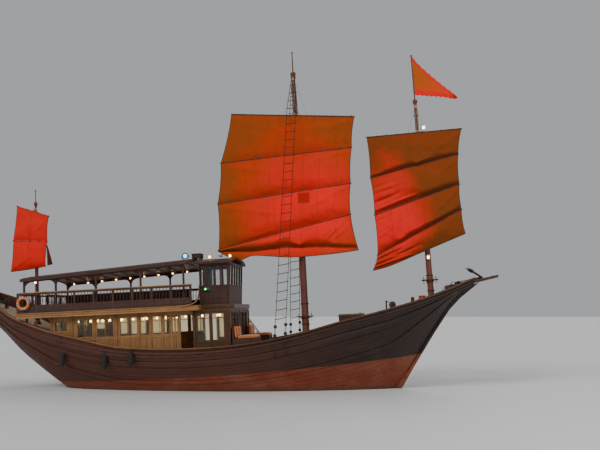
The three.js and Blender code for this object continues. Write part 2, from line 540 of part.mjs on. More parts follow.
// Sails: spars from aft end to fore end, top one first, and the cloth's outline
const SAILS = {
  main: {
    mast: MASTS.main,
    spars: [[[230, 14470], [6800, 13900], 62], [[-400, 11870], [6570, 12250], 42], [[-650, 9680], [6410, 10340], 42],
      [[-690, 7230], [6320, 8690], 42], [[960, 6900], [6600, 6840], 60]],
    cloth: [[250, 14500], [-440, 11870], [-690, 9670], [-730, 7200], [0, 7000], [760, 6780], [2000, 6640], [3580, 6560],
      [5200, 6640], [6610, 6780], [6340, 8700], [6430, 10340], [6590, 12250], [6820, 13880]],
  },
  fore: {
    mast: MASTS.fore,
    spars: [[[7420, 12700], [12360, 12830], 55], [[7520, 10550], [12100, 11500], 38], [[7620, 8580], [12040, 9920], 38],
      [[7660, 6490], [12060, 8600], 38], [[7420, 5810], [12190, 7390], 50]],
    cloth: [[7420, 12730], [7490, 10540], [7600, 8570], [7640, 6460], [7360, 5700], [8300, 5930], [10200, 6640],
      [12200, 7330], [12080, 8620], [12060, 9930], [12120, 11510], [12370, 12850]],
  },
  mizzen: {
    mast: MASTS.mizzen,
    spars: [[[-11830, 10220], [-10090, 9560], 34], [[-12060, 8380], [-10200, 8200], 24], [[-12210, 6700], [-10300, 6890], 32]],
    cloth: [[-11840, 10250], [-12080, 8380], [-12230, 6660], [-10300, 6850], [-10180, 8200], [-10080, 9570]],
  },
};
function sparPole([x0, z0], [x1, z1], r) {
  return new THREE.CylinderGeometry(r, r, Math.hypot(x1 - x0, z1 - z0), 8).rotateZ(-Math.PI / 2)
    .rotateY(-Math.atan2(z1 - z0, x1 - x0)).translate((x0 + x1) / 2, SAIL.sparY, (z0 + z1) / 2);
}
Object.entries(SAILS).forEach(([name, sail]) => {
  const { spars, mast, cloth } = sail;
  const poles = spars.map(([a, b, r]) => sparPole(a, b, r));
  const heightAt = ([a, b]) => {
    const x = mastX(mast, (a[1] + b[1]) / 2);
    return a[1] + ((b[1] - a[1]) * (x - a[0])) / (b[0] - a[0]);
  };
  const high = heightAt(spars[0]);
  const low = heightAt(spars[spars.length - 1]);
  const spine = rod([mastX(mast, low), SAIL.sparY, low], [mastX(mast, high), SAIL.sparY, high], SAIL.spineR, SAIL.spineR, 6);
  const saddles = [high, low].map((z) => {
    const x = mastX(mast, z);
    return box(x - 70, x + 70, SAIL.sparY, -mastRadius(mast, z - 60) - RUN_GAP, z - 50, z + 50);
  });
  piece(`${name}_sail_spars`, union(...poles, spine, ...saddles), PAINT.mast);
  const far = SAIL.sparY - Math.max(...spars.map(([, , r]) => r)) - GAP;
  piece(`${name}_sail_cloth`, sidePlate(cloth, [], far - SAIL.cloth, far), PAINT.sail);
});

// Flag at the foremast head
const FLAG = { low: 14930, high: 17000, tip: [12300, 14560], thick: 14 };
function hoistX(z) {
  const m = MASTS.fore;
  const share = (z - m.hounds - 160) / (m.head[1] - 90 - m.hounds - 160);
  return mastX(m, z) + m.pole * (1 - 0.2 * share) + GAP;
}
piece('flag', sidePlate(
  [[hoistX(FLAG.low), FLAG.low], FLAG.tip, [hoistX(FLAG.high), FLAG.high]], [], -FLAG.thick / 2, FLAG.thick / 2,
), PAINT.flag);

// Rope ladders that stay the mainmast: feet on the cap rail, heads at the hounds
const LADDER = { footX: 2720, footY: 3470, halfFoot: 260, halfHead: 90, headZ: 16350, rope: 20, rungs: 10 };
SIDES.forEach(([name, side]) => {
  const headR = mastRadius(MASTS.main, LADDER.headZ) + 40;
  const legs = [-1, 1].map((s) => {
    const x = LADDER.footX + s * LADDER.halfFoot;
    const foot = [x, side * LADDER.footY, railAt(x) + 8];
    const head = [mastX(MASTS.main, LADDER.headZ) + s * LADDER.halfHead, side * headR, LADDER.headZ];
    return [foot, head];
  });
  const at = ([a, b], t) => a.map((v, i) => v + (b[i] - v) * t);
  const rungs = Array.from({ length: LADDER.rungs }, (_, i) => {
    const t = 0.03 + (0.94 * i) / (LADDER.rungs - 1);
    return rod(at(legs[0], t), at(legs[1], t), 15, 15, 4);
  });
  const headX = mastX(MASTS.main, LADDER.headZ);
  const near = mastRadius(MASTS.main, LADDER.headZ - 40) + GAP;
  const y = [side * near, side * (headR + 30)].sort((a, b) => a - b);
  const band = box(headX - 120, headX + 120, ...y, LADDER.headZ - 40, LADDER.headZ + 30);
  const ropes = legs.map(([a, b]) => rod(a, b, LADDER.rope, LADDER.rope, 5));
  piece(`main_ladder_${name}`, union(...ropes, ...rungs, band), PAINT.rope);
});

// Bow beam for the anchor, with the anchor stowed on it
const beamUnder = (x) => 4745 + (x - 12400) * 0.2;
const beamAft = 11000;
piece('bow_beam', union(
  sidePlate([
    [beamAft, beamUnder(beamAft)], [12400, beamUnder(12400)], [13740, beamUnder(13740)],
    [13740, beamUnder(13740) + 130], [beamAft, beamUnder(beamAft) + 230],
  ], [], -110, 110),
  box(beamAft, beamAft + 180, -110, 110, highestDeck(beamAft, beamAft + 180) + GAP, beamUnder(beamAft) + 100),
), PAINT.mast);
function anchorBody() {
  const top = (x) => beamUnder(x) + 230 - ((x - beamAft) * 100) / (13740 - beamAft);
  const shankR = 42;
  const crownR = 50;
  const crown = [12900, 0, top(12900) + crownR + 0.5];
  const ring = [11500, 0, top(11500) + shankR + 0.5];
  const arms = [-1, 1].map((s) => rod(crown, [12150, s * 430, crown[2] + 520], 46, 24, 8));
  const stock = rod([11640, -620, top(11640) + 70], [11640, 620, top(11640) + 70], 40, 40, 8);
  return union(rod(ring, crown, shankR, crownR, 8), stock, ...arms);
}
piece('anchor', anchorBody(), PAINT.iron);

// Windlass on the foredeck: two cheeks and an eight-sided barrel
const WINDLASS = { x: 8250, r: 150, half: 700, pin: 50, hole: 50.8, pinSides: 24, rise: 460 };
const windlassZ = deckAt(WINDLASS.x) + WINDLASS.rise;
const cheekFoot = highestDeck(WINDLASS.x - 170, WINDLASS.x + 170) + GAP;
const circle = (cx, cz, r, n) => Array.from({ length: n }, (_, i) => {
  const a = (i * 2 * Math.PI) / n;
  return [cx + r * Math.cos(a), cz + r * Math.sin(a)];
});
function windlassFrame() {
  const cheeks = [-1, 1].map((s) => {
    const y = [s * (WINDLASS.half + 10), s * (WINDLASS.half + 120)].sort((a, b) => a - b);
    return sidePlate([
      [WINDLASS.x - 170, cheekFoot], [WINDLASS.x + 170, cheekFoot], [WINDLASS.x + 110, windlassZ + 150],
      [WINDLASS.x - 110, windlassZ + 150],
    ], [circle(WINDLASS.x, windlassZ, WINDLASS.hole, WINDLASS.pinSides)], ...y);
  });
  const sill = box(WINDLASS.x - 170, WINDLASS.x - 60, -WINDLASS.half - 60, WINDLASS.half + 60, cheekFoot, cheekFoot + 110);
  return union(...cheeks, sill);
}
piece('windlass_frame', windlassFrame(), PAINT.dark);
piece('windlass_barrel', union(
  rod([WINDLASS.x, -WINDLASS.half, windlassZ], [WINDLASS.x, WINDLASS.half, windlassZ], WINDLASS.r, WINDLASS.r, 8),
  rod(
    [WINDLASS.x, -WINDLASS.half - 100, windlassZ], [WINDLASS.x, WINDLASS.half + 100, windlassZ],
    WINDLASS.pin, WINDLASS.pin, WINDLASS.pinSides,
  ),
), PAINT.tan);

// Foredeck hatch: coaming and a hinged lid
const HATCH = { aft: 5450, fore: 6750, half: 620, wall: 80, top: 3430, lid: 60 };
function hatchCoaming() {
  const { aft, fore, half, wall, top } = HATCH;
  const xs = [aft, ...STATION_X.filter((x) => x > aft && x < fore), fore];
  const foot = xs.map((x) => [x, deckAt(x) + GAP]);
  const block = sidePlate([...foot, [fore, top], [aft, top]], [], -half, half);
  return cut(block, box(aft + wall, fore - wall, -half + wall, half - wall, 0, top + 100));
}
piece('hatch_coaming', hatchCoaming(), PAINT.tan);
piece('hatch_lid', box(
  HATCH.aft - 30, HATCH.fore + 30, -HATCH.half - 30, HATCH.half + 30, HATCH.top + GAP, HATCH.top + HATCH.lid,
), PAINT.dark);

// Mooring bitts fore and aft: two posts and a cross bar, with flat heads
function bittBody(x, spread, height) {
  const foot = highestDeck(x - 75, x + 75) + GAP;
  const posts = [-1, 1].map((s) => box(x - 75, x + 75, s * spread - 75, s * spread + 75, foot, foot + height));
  return union(...posts, box(x - 45, x + 45, -spread - 260, spread + 260, foot + height - 260, foot + height - 140));
}
piece('fore_bitts', bittBody(9300, 420, 520), PAINT.dark);
piece('aft_bitts', bittBody(-12900, 520, 560), PAINT.dark);

// Lounge seats in front of the deckhouse, with orange cushions
const LOUNGE = { aft: 260, fore: 1500, near: 1500, far: 2820, seat: 560, back: 1080, cushion: 130 };
SIDES.forEach(([name, side]) => {
  const { aft, fore, near, far, seat, back, cushion } = LOUNGE;
  const floor = highestDeck(aft, fore);
  const y = (a, b) => [side * a, side * b].sort((p, q) => p - q);
  piece(`lounge_${name}`, union(
    box(aft, fore, ...y(near, far), floor + GAP, floor + seat),
    box(aft, aft + 90, ...y(near, far), floor + 200, floor + back),
  ), PAINT.dark);
  const x0 = aft + 90 + GAP;
  const low = floor + seat + GAP;
  piece(`cushion_${name}`, union(
    box(x0, fore, ...y(near, far), low, low + cushion),
    box(x0, x0 + 150, ...y(near + 20, far - 20), low + 20, floor + back + 230),
  ), PAINT.orange);
});

// Trim by the stern about the origin
ship.rotation.y = -TRIM;
const part = new THREE.Group();
part.add(ship);
part.updateMatrixWorld(true);

export default part;
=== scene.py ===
# Chinese junk: planking, sails, joinery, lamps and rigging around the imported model.
# Everything is drawn upright in the ship's own frame, in metres, and then trimmed by the stern.
import math

import bmesh
import bpy
from mathutils import Matrix, Vector, noise
from mathutils.bvhtree import BVHTree


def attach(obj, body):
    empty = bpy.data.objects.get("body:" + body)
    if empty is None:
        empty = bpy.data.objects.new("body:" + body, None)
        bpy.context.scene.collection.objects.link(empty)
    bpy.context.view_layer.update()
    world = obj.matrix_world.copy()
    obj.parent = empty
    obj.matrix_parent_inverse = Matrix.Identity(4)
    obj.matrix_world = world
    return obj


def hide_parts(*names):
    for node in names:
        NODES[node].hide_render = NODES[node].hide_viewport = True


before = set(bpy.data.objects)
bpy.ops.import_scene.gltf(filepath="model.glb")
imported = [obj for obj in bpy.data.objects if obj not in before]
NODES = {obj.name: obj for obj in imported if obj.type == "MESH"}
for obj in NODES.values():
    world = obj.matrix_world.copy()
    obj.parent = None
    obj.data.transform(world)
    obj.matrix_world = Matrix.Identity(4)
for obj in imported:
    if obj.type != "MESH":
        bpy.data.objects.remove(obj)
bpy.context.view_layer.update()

TRIM = math.radians(2.8)
TO_ROW = Matrix.Rotation(-TRIM, 4, "Y")
SIDES = (("starboard", -1), ("port", 1))
AHEAD, ABEAM, UP = (1, 0, 0), (0, 1, 0), (0, 0, 1)
TURN = 2 * math.pi
BOX = [(0, 2, 3, 1), (4, 5, 7, 6), (0, 1, 5, 4), (2, 6, 7, 3), (0, 4, 6, 2), (1, 3, 7, 5)]


# Rules for paths, rings and outlines
def spaced(a, b, count):
    return [a + (b - a) * i / (count - 1) for i in range(count)]


def line(a, b, count=2):
    a, b = Vector(a), Vector(b)
    return [a.lerp(b, i / (count - 1)) for i in range(count)]


def hanging(a, b, sag, count=14):
    return [p - Vector((0, 0, sag * 4 * t * (1 - t))) for p, t in zip(line(a, b, count), spaced(0, 1, count))]


def around(count, start=0.0):
    return [TURN * (k + start) / count for k in range(count)]


def axis_and_sides(axis):
    axis = Vector(axis).normalized()
    helper = Vector(AHEAD if abs(axis.x) < 0.9 else ABEAM)
    a = helper.cross(axis).normalized()
    return axis, a, axis.cross(a)


def ring_path(centre, radius, axis=UP, count=20):
    _, a, b = axis_and_sides(axis)
    return [Vector(centre) + a * math.cos(t) * radius + b * math.sin(t) * radius for t in around(count)]


def frames_along(path, up=None):
    """A place, and two directions across, for each point of a path."""
    path = [Vector(p) for p in path]
    found, side = [], None
    for i, p in enumerate(path):
        ahead = path[min(i + 1, len(path) - 1)] - path[max(i - 1, 0)]
        ahead.normalize()
        if up is not None:
            side = Vector(up).cross(ahead).normalized()
        elif side is None:
            side = Vector(UP if abs(ahead.z) < 0.9 else AHEAD).cross(ahead).normalized()
        else:
            side = (side - ahead * side.dot(ahead)).normalized()
        found.append((p, side, ahead.cross(side).normalized()))
    return found


def turned_area(ring):
    return sum(a[0] * b[1] - b[0] * a[1] for a, b in zip(ring, ring[1:] + ring[:1]))


def oblong(half, low, high):
    return [(-half, low), (half, low), (half, high), (-half, high)]


def mm(text):
    """An outline given in millimetres, as pairs of numbers parted by commas."""
    return [tuple(float(number) / 1000 for number in pair.split()) for pair in text.split(",")]


def disc(radius, height):
    return [(0, 0), (radius, 0), (radius, height), (0, height)]


def stitched(count, n, order=(0, 1, 2, 3), closed=False):
    """Quads between rings of n points each. order says where each quad begins and which way it turns."""
    faces = []
    for i in range(count if closed else count - 1):
        j = (i + 1) % count
        for k in range(n):
            m = (k + 1) % n
            corners = (i * n + k, i * n + m, j * n + m, j * n + k)
            faces.append(tuple(corners[c] for c in order))
    return faces


def between(rings):
    """Faces between rings of point numbers, where a ring of one point is a pole."""
    faces = []
    for low, high in zip(rings, rings[1:]):
        n = max(len(low), len(high))
        for k in range(n if n > 1 else 0):
            m = (k + 1) % n
            if len(low) == 1:
                faces.append((low[0], high[m], high[k]))
            elif len(high) == 1:
                faces.append((low[k], low[m], high[0]))
            else:
                faces.append((low[k], low[m], high[m], high[k]))
    return faces


# Where a flat outline lies: its own two directions, and the one it is carried along
def in_side(a, b, c):
    return (a, c, b)


def in_cross(a, b, c):
    return (c, a, b)


def in_plan(a, b, c):
    return (a, b, c)


class Shape:
    """Points and faces of one piece. Each face keeps its material slot and its corners' UV, in metres."""

    def __init__(self):
        self.points, self.faces, self.slots, self.uvs = [], [], [], []

    def add(self, points, faces, uvs=None, slots=None):
        start = len(self.points)
        self.points += [Vector(p) for p in points]
        self.faces += [[start + k for k in face] for face in faces]
        self.slots += slots or [0] * len(faces)
        self.uvs += uvs or [[(0.0, 0.0)] * len(face) for face in faces]
        return self

    def block(self, x0, x1, y0, y1, z0, z1):
        x, y, z = sorted((x0, x1)), sorted((y0, y1)), sorted((z0, z1))
        return self.add([(x[i], y[j], z[k]) for k in (0, 1) for j in (0, 1) for i in (0, 1)], BOX)

    def prism(self, outline, place, low, high):
        """A flat outline carried from low to high: place(a, b, c) gives the point."""
        n = len(outline)
        ring = list(outline) if turned_area(outline) > 0 else list(outline)[::-1]
        points = [Vector(place(a, b, c)) for c in (low, high) for a, b in ring]
        faces = [tuple(range(n - 1, -1, -1)), tuple(range(n, 2 * n))]
        faces += [(i, (i + 1) % n, n + (i + 1) % n, n + i) for i in range(n)]
        spread = [(points[i] - points[0]).cross(points[(i + 1) % n] - points[0]) for i in range(n)]
        if sum(spread, Vector()).dot(points[n] - points[0]) < 0:
            faces = [tuple(reversed(f)) for f in faces]
        return self.add(points, faces)

    def tube(self, path, radius, sides=8, closed=False):
        """A round rope or pole along a path. radius is one number, or one for each point."""
        places = frames_along(path)
        count = len(places)
        radii = radius if isinstance(radius, list) else [radius] * count
        turns = [(math.cos(t), math.sin(t)) for t in around(sides)]
        points = [p + (a * c + b * s) * r for (p, a, b), r in zip(places, radii) for c, s in turns]
        run = [0.0]
        for i in range(1, count + closed):
            run.append(run[-1] + (places[i % count][0] - places[i - 1][0]).length)
        faces, uvs = stitched(count, sides, closed=closed), []
        for i in range(len(run) - 1):
            girth = TURN * radii[i] / sides
            for k in range(sides):
                near, far = k * girth, (k + 1) * girth
                uvs.append([(near, run[i]), (far, run[i]), (far, run[i + 1]), (near, run[i + 1])])
        if not closed:
            faces += [tuple(range(sides - 1, -1, -1)), tuple(range((count - 1) * sides, count * sides))]
            uvs += [[(0.0, 0.0)] * sides] * 2
        return self.add(points, faces, uvs)

    def lathe(self, profile, base, axis=UP, sides=24):
        """A turned shape: profile is radius and height along the axis from base."""
        base = Vector(base)
        axis, a, b = axis_and_sides(axis)
        points, rings = [], []
        for r, h in profile:
            count = sides if r > 1e-6 else 1
            rings.append(list(range(len(points), len(points) + count)))
            spokes = [(a * math.cos(t) + b * math.sin(t)) * r for t in around(count)]
            points += [base + axis * h + spoke for spoke in spokes]
        ends = [tuple(reversed(rings[0])), tuple(rings[-1])]
        return self.add(points, between(rings) + [e for e in ends if len(e) > 1])

    def sweep(self, path, section, up=UP, across=1.0):
        """A section of points (across, up) carried along a path and closed at its ends."""
        places = frames_along(path, up)
        n, count = len(section), len(places)
        ring = list(section) if turned_area(section) * across < 0 else list(section)[::-1]
        points = [p + a * (s * across) + b * t for p, a, b in places for s, t in ring]
        run, girth, uvs = 0.0, [0.0], []
        for i in range(n):
            girth.append(girth[-1] + math.dist(ring[i], ring[(i + 1) % n]))
        for i in range(count - 1):
            ahead = run + (places[i + 1][0] - places[i][0]).length
            for near, far in zip(girth, girth[1:]):
                uvs.append([(run, near), (ahead, near), (ahead, far), (run, far)])
            run = ahead
        faces = stitched(count, n, (0, 3, 2, 1))
        faces += [tuple(range(n)), tuple(range(count * n - 1, (count - 1) * n - 1, -1))]
        return self.add(points, faces, uvs + [[(0.0, 0.0)] * n] * 2)

    def plank(self, path, section, shift):
        """A swept plank mapped in plan, so that its grain and its boards run fore and aft."""
        first = len(self.faces)
        self.sweep(path, section)
        plan = [[(self.points[k].x + shift, self.points[k].y) for k in face] for face in self.faces[first:]]
        self.uvs[first:] = plan
        return self


# Meshes, bodies and slots
def placed(name, data):
    obj = bpy.data.objects.new(name, data)
    bpy.context.scene.collection.objects.link(obj)
    return obj


def mesh_of(name, points, faces=(), edges=()):
    mesh = bpy.data.meshes.new(name)
    mesh.from_pydata(points, edges, faces)
    return mesh


def final_form(obj):
    return obj.evaluated_get(bpy.context.evaluated_depsgraph_get())


def shade_smooth(mesh, angle):
    mesh.polygons.foreach_set("use_smooth", [True] * len(mesh.polygons))
    mesh.set_sharp_from_angle(angle=math.radians(angle))


def ride_as(obj, body):
    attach(obj, body)
    return obj


def add_bevel(obj, width, angle=32.0):
    edge = obj.modifiers.new("edges", "BEVEL")
    edge.width, edge.segments = width, 2
    edge.limit_method, edge.angle_limit = "ANGLE", math.radians(angle)
    edge.harden_normals = False


def piece(name, shape, finish, body="ship", smooth=35.0, bevel=0.0, weld=0.0):
    """Makes the gathered shape one mesh in the row frame, riding on a body, in one finish or in several."""
    finishes = finish if isinstance(finish, list) else [finish]
    mesh = mesh_of(name, [TO_ROW @ p for p in shape.points], shape.faces)
    for key in finishes:
        mesh.materials.append(MAT[key])
    mesh.polygons.foreach_set("material_index", shape.slots)
    layer = mesh.uv_layers.new(name="cloth")
    layer.data.foreach_set("uv", [c for face in shape.uvs for corner in face for c in corner])
    if weld:
        work = bmesh.new()
        work.from_mesh(mesh)
        bmesh.ops.remove_doubles(work, verts=work.verts, dist=weld)
        bmesh.ops.dissolve_degenerate(work, edges=work.edges, dist=weld)
        work.to_mesh(mesh)
        work.free()
    mesh.validate()
    if smooth:
        shade_smooth(mesh, smooth)
    obj = placed(name, mesh)
    if bevel:
        add_bevel(obj, bevel)
    return ride_as(obj, body)


# Shader groups shared by the finishes
class Wiring:
    """Short forms for the nodes that every finish uses."""

    def __init__(self, tree):
        self.tree = tree

    def node(self, kind, settings=None, **sockets):
        made = self.tree.nodes.new(kind)
        for key, value in (settings or {}).items():
            setattr(made, key, value)
        return self.fill(made, sockets)

    def fill(self, made, sockets):
        for key, value in sockets.items():
            self.put(made.inputs[key.replace("_", " ")], value)
        return made

    def put(self, socket, value):
        if isinstance(value, bpy.types.NodeSocket):
            self.tree.links.new(value, socket)
        elif socket.type == "RGBA":
            socket.default_value = (*value[:3], 1.0)
        else:
            socket.default_value = value

    def math(self, operation, *values, kind="ShaderNodeMath"):
        made = self.node(kind, {"operation": operation})
        for socket, value in zip(made.inputs, values):
            self.put(socket, value)
        return made.outputs[0]

    def add(self, a, b):
        return self.math("ADD", a, b)

    def less(self, a, b):
        return self.math("SUBTRACT", a, b)

    def times(self, a, b):
        return self.math("MULTIPLY", a, b)

    def size(self, a):
        return self.math("ABSOLUTE", a)

    def vector(self, operation, a, b):
        return self.math(operation, a, b, kind="ShaderNodeVectorMath")

    def ramp(self, value, low, high, out_low=0.0, out_high=1.0):
        made = self.node("ShaderNodeMapRange")
        for socket, number in zip(made.inputs, (value, low, high, out_low, out_high)):
            self.put(socket, number)
        return made.outputs[0]

    def mix(self, share, a, b, blend="MIX"):
        made = self.node("ShaderNodeMix", {"data_type": "RGBA", "blend_type": blend})
        for socket, value in ((0, share), (6, a), (7, b)):
            self.put(made.inputs[socket], value)
        return made.outputs[2]

    def over(self, body, *layers):
        """Lays tones over a colour. Each layer is a mask, its strength and its tone."""
        for mask, strength, tone in layers:
            body = self.mix(self.times(mask, strength), body, tone)
        return body

    def noise(self, vector, scale, detail=4.0, rough=0.55, bend=0.0):
        sockets = dict(Vector=vector, Scale=scale, Detail=detail, Roughness=rough, Distortion=bend)
        return self.node("ShaderNodeTexNoise", **sockets).outputs[0]

    def split(self, vector):
        return self.node("ShaderNodeSeparateXYZ", Vector=vector).outputs

    def join(self, x=0.0, y=0.0, z=0.0):
        return self.node("ShaderNodeCombineXYZ", X=x, Y=y, Z=z).outputs[0]


def group(name, outputs, **inputs):
    """A shader group with a place and some numbers going in, and numbers coming out."""
    tree = bpy.data.node_groups.new(name, "ShaderNodeTree")
    tree.interface.new_socket("Place", in_out="INPUT", socket_type="NodeSocketVector")
    for label, value in inputs.items():
        shown = label.replace("_", " ")
        socket = tree.interface.new_socket(shown, in_out="INPUT", socket_type="NodeSocketFloat")
        socket.default_value = value
    for label in outputs:
        tree.interface.new_socket(label, in_out="OUTPUT", socket_type="NodeSocketFloat")
    return Wiring(tree), tree.nodes.new("NodeGroupInput").outputs, tree.nodes.new("NodeGroupOutput")


def timber_group():
    """Grain along the first coordinate, laid in boards: tones of figure and of board, seam, height."""
    sizes = dict(Board_width=0.14, Board_length=4.0, Seam=0.006)
    w, given, result = group("timber", ("Grain", "Board", "Seam", "Height"), **sizes)
    x, y, z = w.split(given["Place"])
    brick = w.node(
        "ShaderNodeTexBrick", {"offset": 0.37, "offset_frequency": 3}, Vector=w.join(x, y), Color1=(0, 0, 0),
        Color2=(1, 1, 1), Mortar=(0.5, 0.5, 0.5), Scale=1.0, Mortar_Smooth=0.4, Mortar_Size=given["Seam"],
        Brick_Width=given["Board length"], Row_Height=given["Board width"],
    ).outputs
    tone = w.node("ShaderNodeSeparateColor", Color=brick["Color"]).outputs[0]
    row = w.add(y, w.times(tone, 37.0))
    rings = w.noise(w.join(w.times(x, 0.7), w.times(row, 16.0), w.times(z, 6.0)), 1.0, 5.0, 0.6, 1.4)
    fibre = w.noise(w.join(w.times(x, 5.0), w.times(row, 150.0), w.times(z, 60.0)), 1.0, 3.0, 0.7)
    grain = w.add(w.times(w.ramp(rings, 0.3, 0.7), 0.68), w.times(fibre, 0.32))
    height = w.less(w.times(grain, 0.35), brick["Fac"])
    w.fill(result, dict(Grain=grain, Board=tone, Seam=brick["Fac"], Height=height))
    return w.tree


def weather_group():
    """Wear in patches, streaks that run down, and dust: each from 0 to 1."""
    w, given, result = group("weather", ("Patches", "Streaks", "Dust"), Size=1.0, Amount=0.5)
    place, amount = given["Place"], given["Amount"]
    close = w.math("DIVIDE", 1.0, given["Size"])
    broad = w.noise(place, w.times(close, 1.3), 6.0, 0.62, 0.4)
    fine = w.noise(place, w.times(close, 9.0), 5.0, 0.7)
    streak = w.noise(w.vector("MULTIPLY", place, (3.2, 3.2, 0.28)), w.times(close, 2.0), 5.0, 0.65)
    patches = w.ramp(w.add(w.times(broad, 0.7), w.times(fine, 0.3)), 0.47, 0.68)
    w.fill(result, dict(Patches=w.times(patches, amount), Streaks=w.times(w.ramp(streak, 0.5, 0.75), amount),
                        Dust=w.noise(place, w.times(close, 38.0), 3.0, 0.7)))
    return w.tree


def weave_group():
    """A plain weave on the first two coordinates, in metres for each thread pair."""
    w, given, result = group("weave", ("Height", "Slub"), Thread=0.004)
    x, y, _ = w.split(given["Place"])
    pace = w.math("DIVIDE", TURN, given["Thread"])
    weave = w.times(w.math("SINE", w.times(x, pace)), w.math("SINE", w.times(y, pace)))
    slub = w.noise(w.vector("MULTIPLY", given["Place"], (3.0, 60.0, 3.0)), 3.0, 3.0, 0.7)
    w.fill(result, dict(Height=w.add(w.times(weave, 0.5), w.times(slub, 0.6)), Slub=slub))
    return w.tree


TIMBER, WEATHER, WEAVE = timber_group(), weather_group(), weave_group()


def tinted(tone, by, plus=0.0):
    return tuple(min(1.0, c * by + plus) for c in tone)


class Finish(Wiring):
    """A material with its Principled shader, read in the ship's own frame or in the piece's UV map."""

    def __init__(self, name, size=1.0, wear=0.5, **sockets):
        self.material = bpy.data.materials.new(name)
        self.material.use_nodes = True
        super().__init__(self.material.node_tree)
        self.shader = self.tree.nodes["Principled BSDF"]
        self.fill(self.shader, {"Specular IOR Level": 0.3, **sockets})
        coords = self.node("ShaderNodeTexCoord").outputs
        turned = self.node("ShaderNodeMapping", Vector=coords["Object"], Rotation=(0.0, TRIM, 0.0))
        self.row, self.cloth, self.normal = coords["Object"], coords["UV"], coords["Normal"]
        self.ship = turned.outputs[0]
        if size:
            weather = self.use(WEATHER, Place=self.ship, Size=size, Amount=wear)
            self.patches, self.streaks, self.dust = weather[:3]

    def use(self, tree, **sockets):
        return self.node("ShaderNodeGroup", {"node_tree": tree}, **sockets).outputs

    def done(self, color, rough, height=None, distance=0.0, strength=1.0):
        """Sets the surface: its colour, roughness as a mask and a range, and relief."""
        mask, *limits = rough
        self.fill(self.shader, {"Base Color": color, "Roughness": self.ramp(mask, *limits)})
        if height:
            relief = self.node("ShaderNodeBump", Height=height, Distance=distance, Strength=strength)
            self.put(self.shader.inputs["Normal"], relief.outputs[0])
        return self.material


def along(f, way):
    """Coordinates that run with the boards first and cross them second, on side faces and on end faces."""
    x, y, z = f.split(f.ship)
    a, b, c = {"x": (x, y, z), "y": (y, x, z), "z": (z, x, y)}[way]
    facing = f.size(f.split(f.normal)["xyz".index(way)])
    return f.mix(f.ramp(facing, 0.70, 0.74), f.join(a, f.add(b, c), f.less(b, c)), f.join(b, c, a))


def wood(name, tones, way, board, length, seam, rough=(0.5, 0.78), wear=0.5, coat=0.0, forward=None):
    """Boarded timber in a dark and a light tone, worn; forward darkens it between two stations, as painted
    shade on the house walls and the upper deck's edge.
    """
    f = Finish(name, 1.0, wear, Coat_Weight=coat, Coat_Roughness=0.25)
    dark, light = tones
    place = f.cloth if way == "map" else along(f, way)
    t = f.use(TIMBER, Place=place, Board_width=board, Board_length=length, Seam=seam)
    body = f.over(
        f.mix(t["Grain"], dark, light), (t["Board"], 0.34, tinted(dark, 0.55)),
        (f.patches, 0.55, tinted(light, 1.35, 0.02)), (f.streaks, 0.5, tinted(dark, 0.5)),
        (t["Seam"], 0.85, tinted(dark, 0.22)),
    )
    # forward multiplies the colour by a darker tint beyond two stations; on the house walls and the deck edge
    # this is painted shade.
    if forward:
        aft, fore, tint = forward
        body = f.mix(f.ramp(f.split(f.ship)[0], aft, fore), body, f.mix(1.0, body, tint, "MULTIPLY"))
    worn = f.add(f.times(f.patches, 0.6), f.times(f.dust, 0.4))
    return f.done(body, (worn, 0.0, 1.0, *rough), t["Height"], 0.004, 0.7)


def metal(name, tone, rough, metallic, rust, wear=0.5):
    f = Finish(name, 0.35, wear, Metallic=metallic)
    body = f.mix(f.patches, f.over(tone, (f.dust, 0.3, tinted(tone, 0.6))), rust)
    shine = (f.add(f.patches, f.times(f.dust, 0.3)), 0.0, 1.2, rough, min(1.0, rough + 0.35))
    return f.done(body, shine, f.add(f.dust, f.patches), 0.002, 0.4)


def paint(name, tone, rough=0.4, wear=0.4, under=(0.2, 0.12, 0.07)):
    f = Finish(name, 0.5, wear)
    layers = (f.dust, 0.18, tinted(tone, 0.55)), (f.patches, 0.5, under), (f.streaks, 0.4, tinted(tone, 0.4))
    shine = (f.patches, 0.0, 1.0, rough, min(1.0, rough + 0.3))
    return f.done(f.over(tone, *layers), shine, f.add(f.dust, f.patches), 0.0015, 0.5)


def glow(name, tone, strength):
    f = Finish(name, None, Emission_Strength=strength)
    hot = f.mix(f.noise(f.ship, 9.0, 2.0), tone, tinted(tone, 1.15, 0.03))
    f.fill(f.shader, {"Base Color": tone, "Roughness": 0.3, "Emission Color": hot})
    return f.material


def clear_glass(name, tint):
    f = Finish(name, 0.4, 0.6, Transmission_Weight=1.0, IOR=1.45, Specular_IOR_Level=0.5)
    return f.done(f.over(tint, (f.patches, 0.35, tinted(tint, 0.7))), (f.dust, 0.2, 1.0, 0.03, 0.16))


def laid_rope(name, dark, light, pitch=0.05):
    """Rope whose strands turn with the piece's own map."""
    f = Finish(name, 0.6, 0.6)
    u, v, _ = f.split(f.cloth)
    strand = f.size(f.math("SINE", f.add(f.times(v, TURN / pitch), f.times(u, 90.0))))
    body = f.over(f.mix(strand, dark, light), (f.patches, 0.5, tinted(dark, 0.5)), (f.dust, 0.3, light))
    return f.done(body, (f.dust, 0.0, 1.0, 0.75, 0.95), strand, 0.006, 0.8)


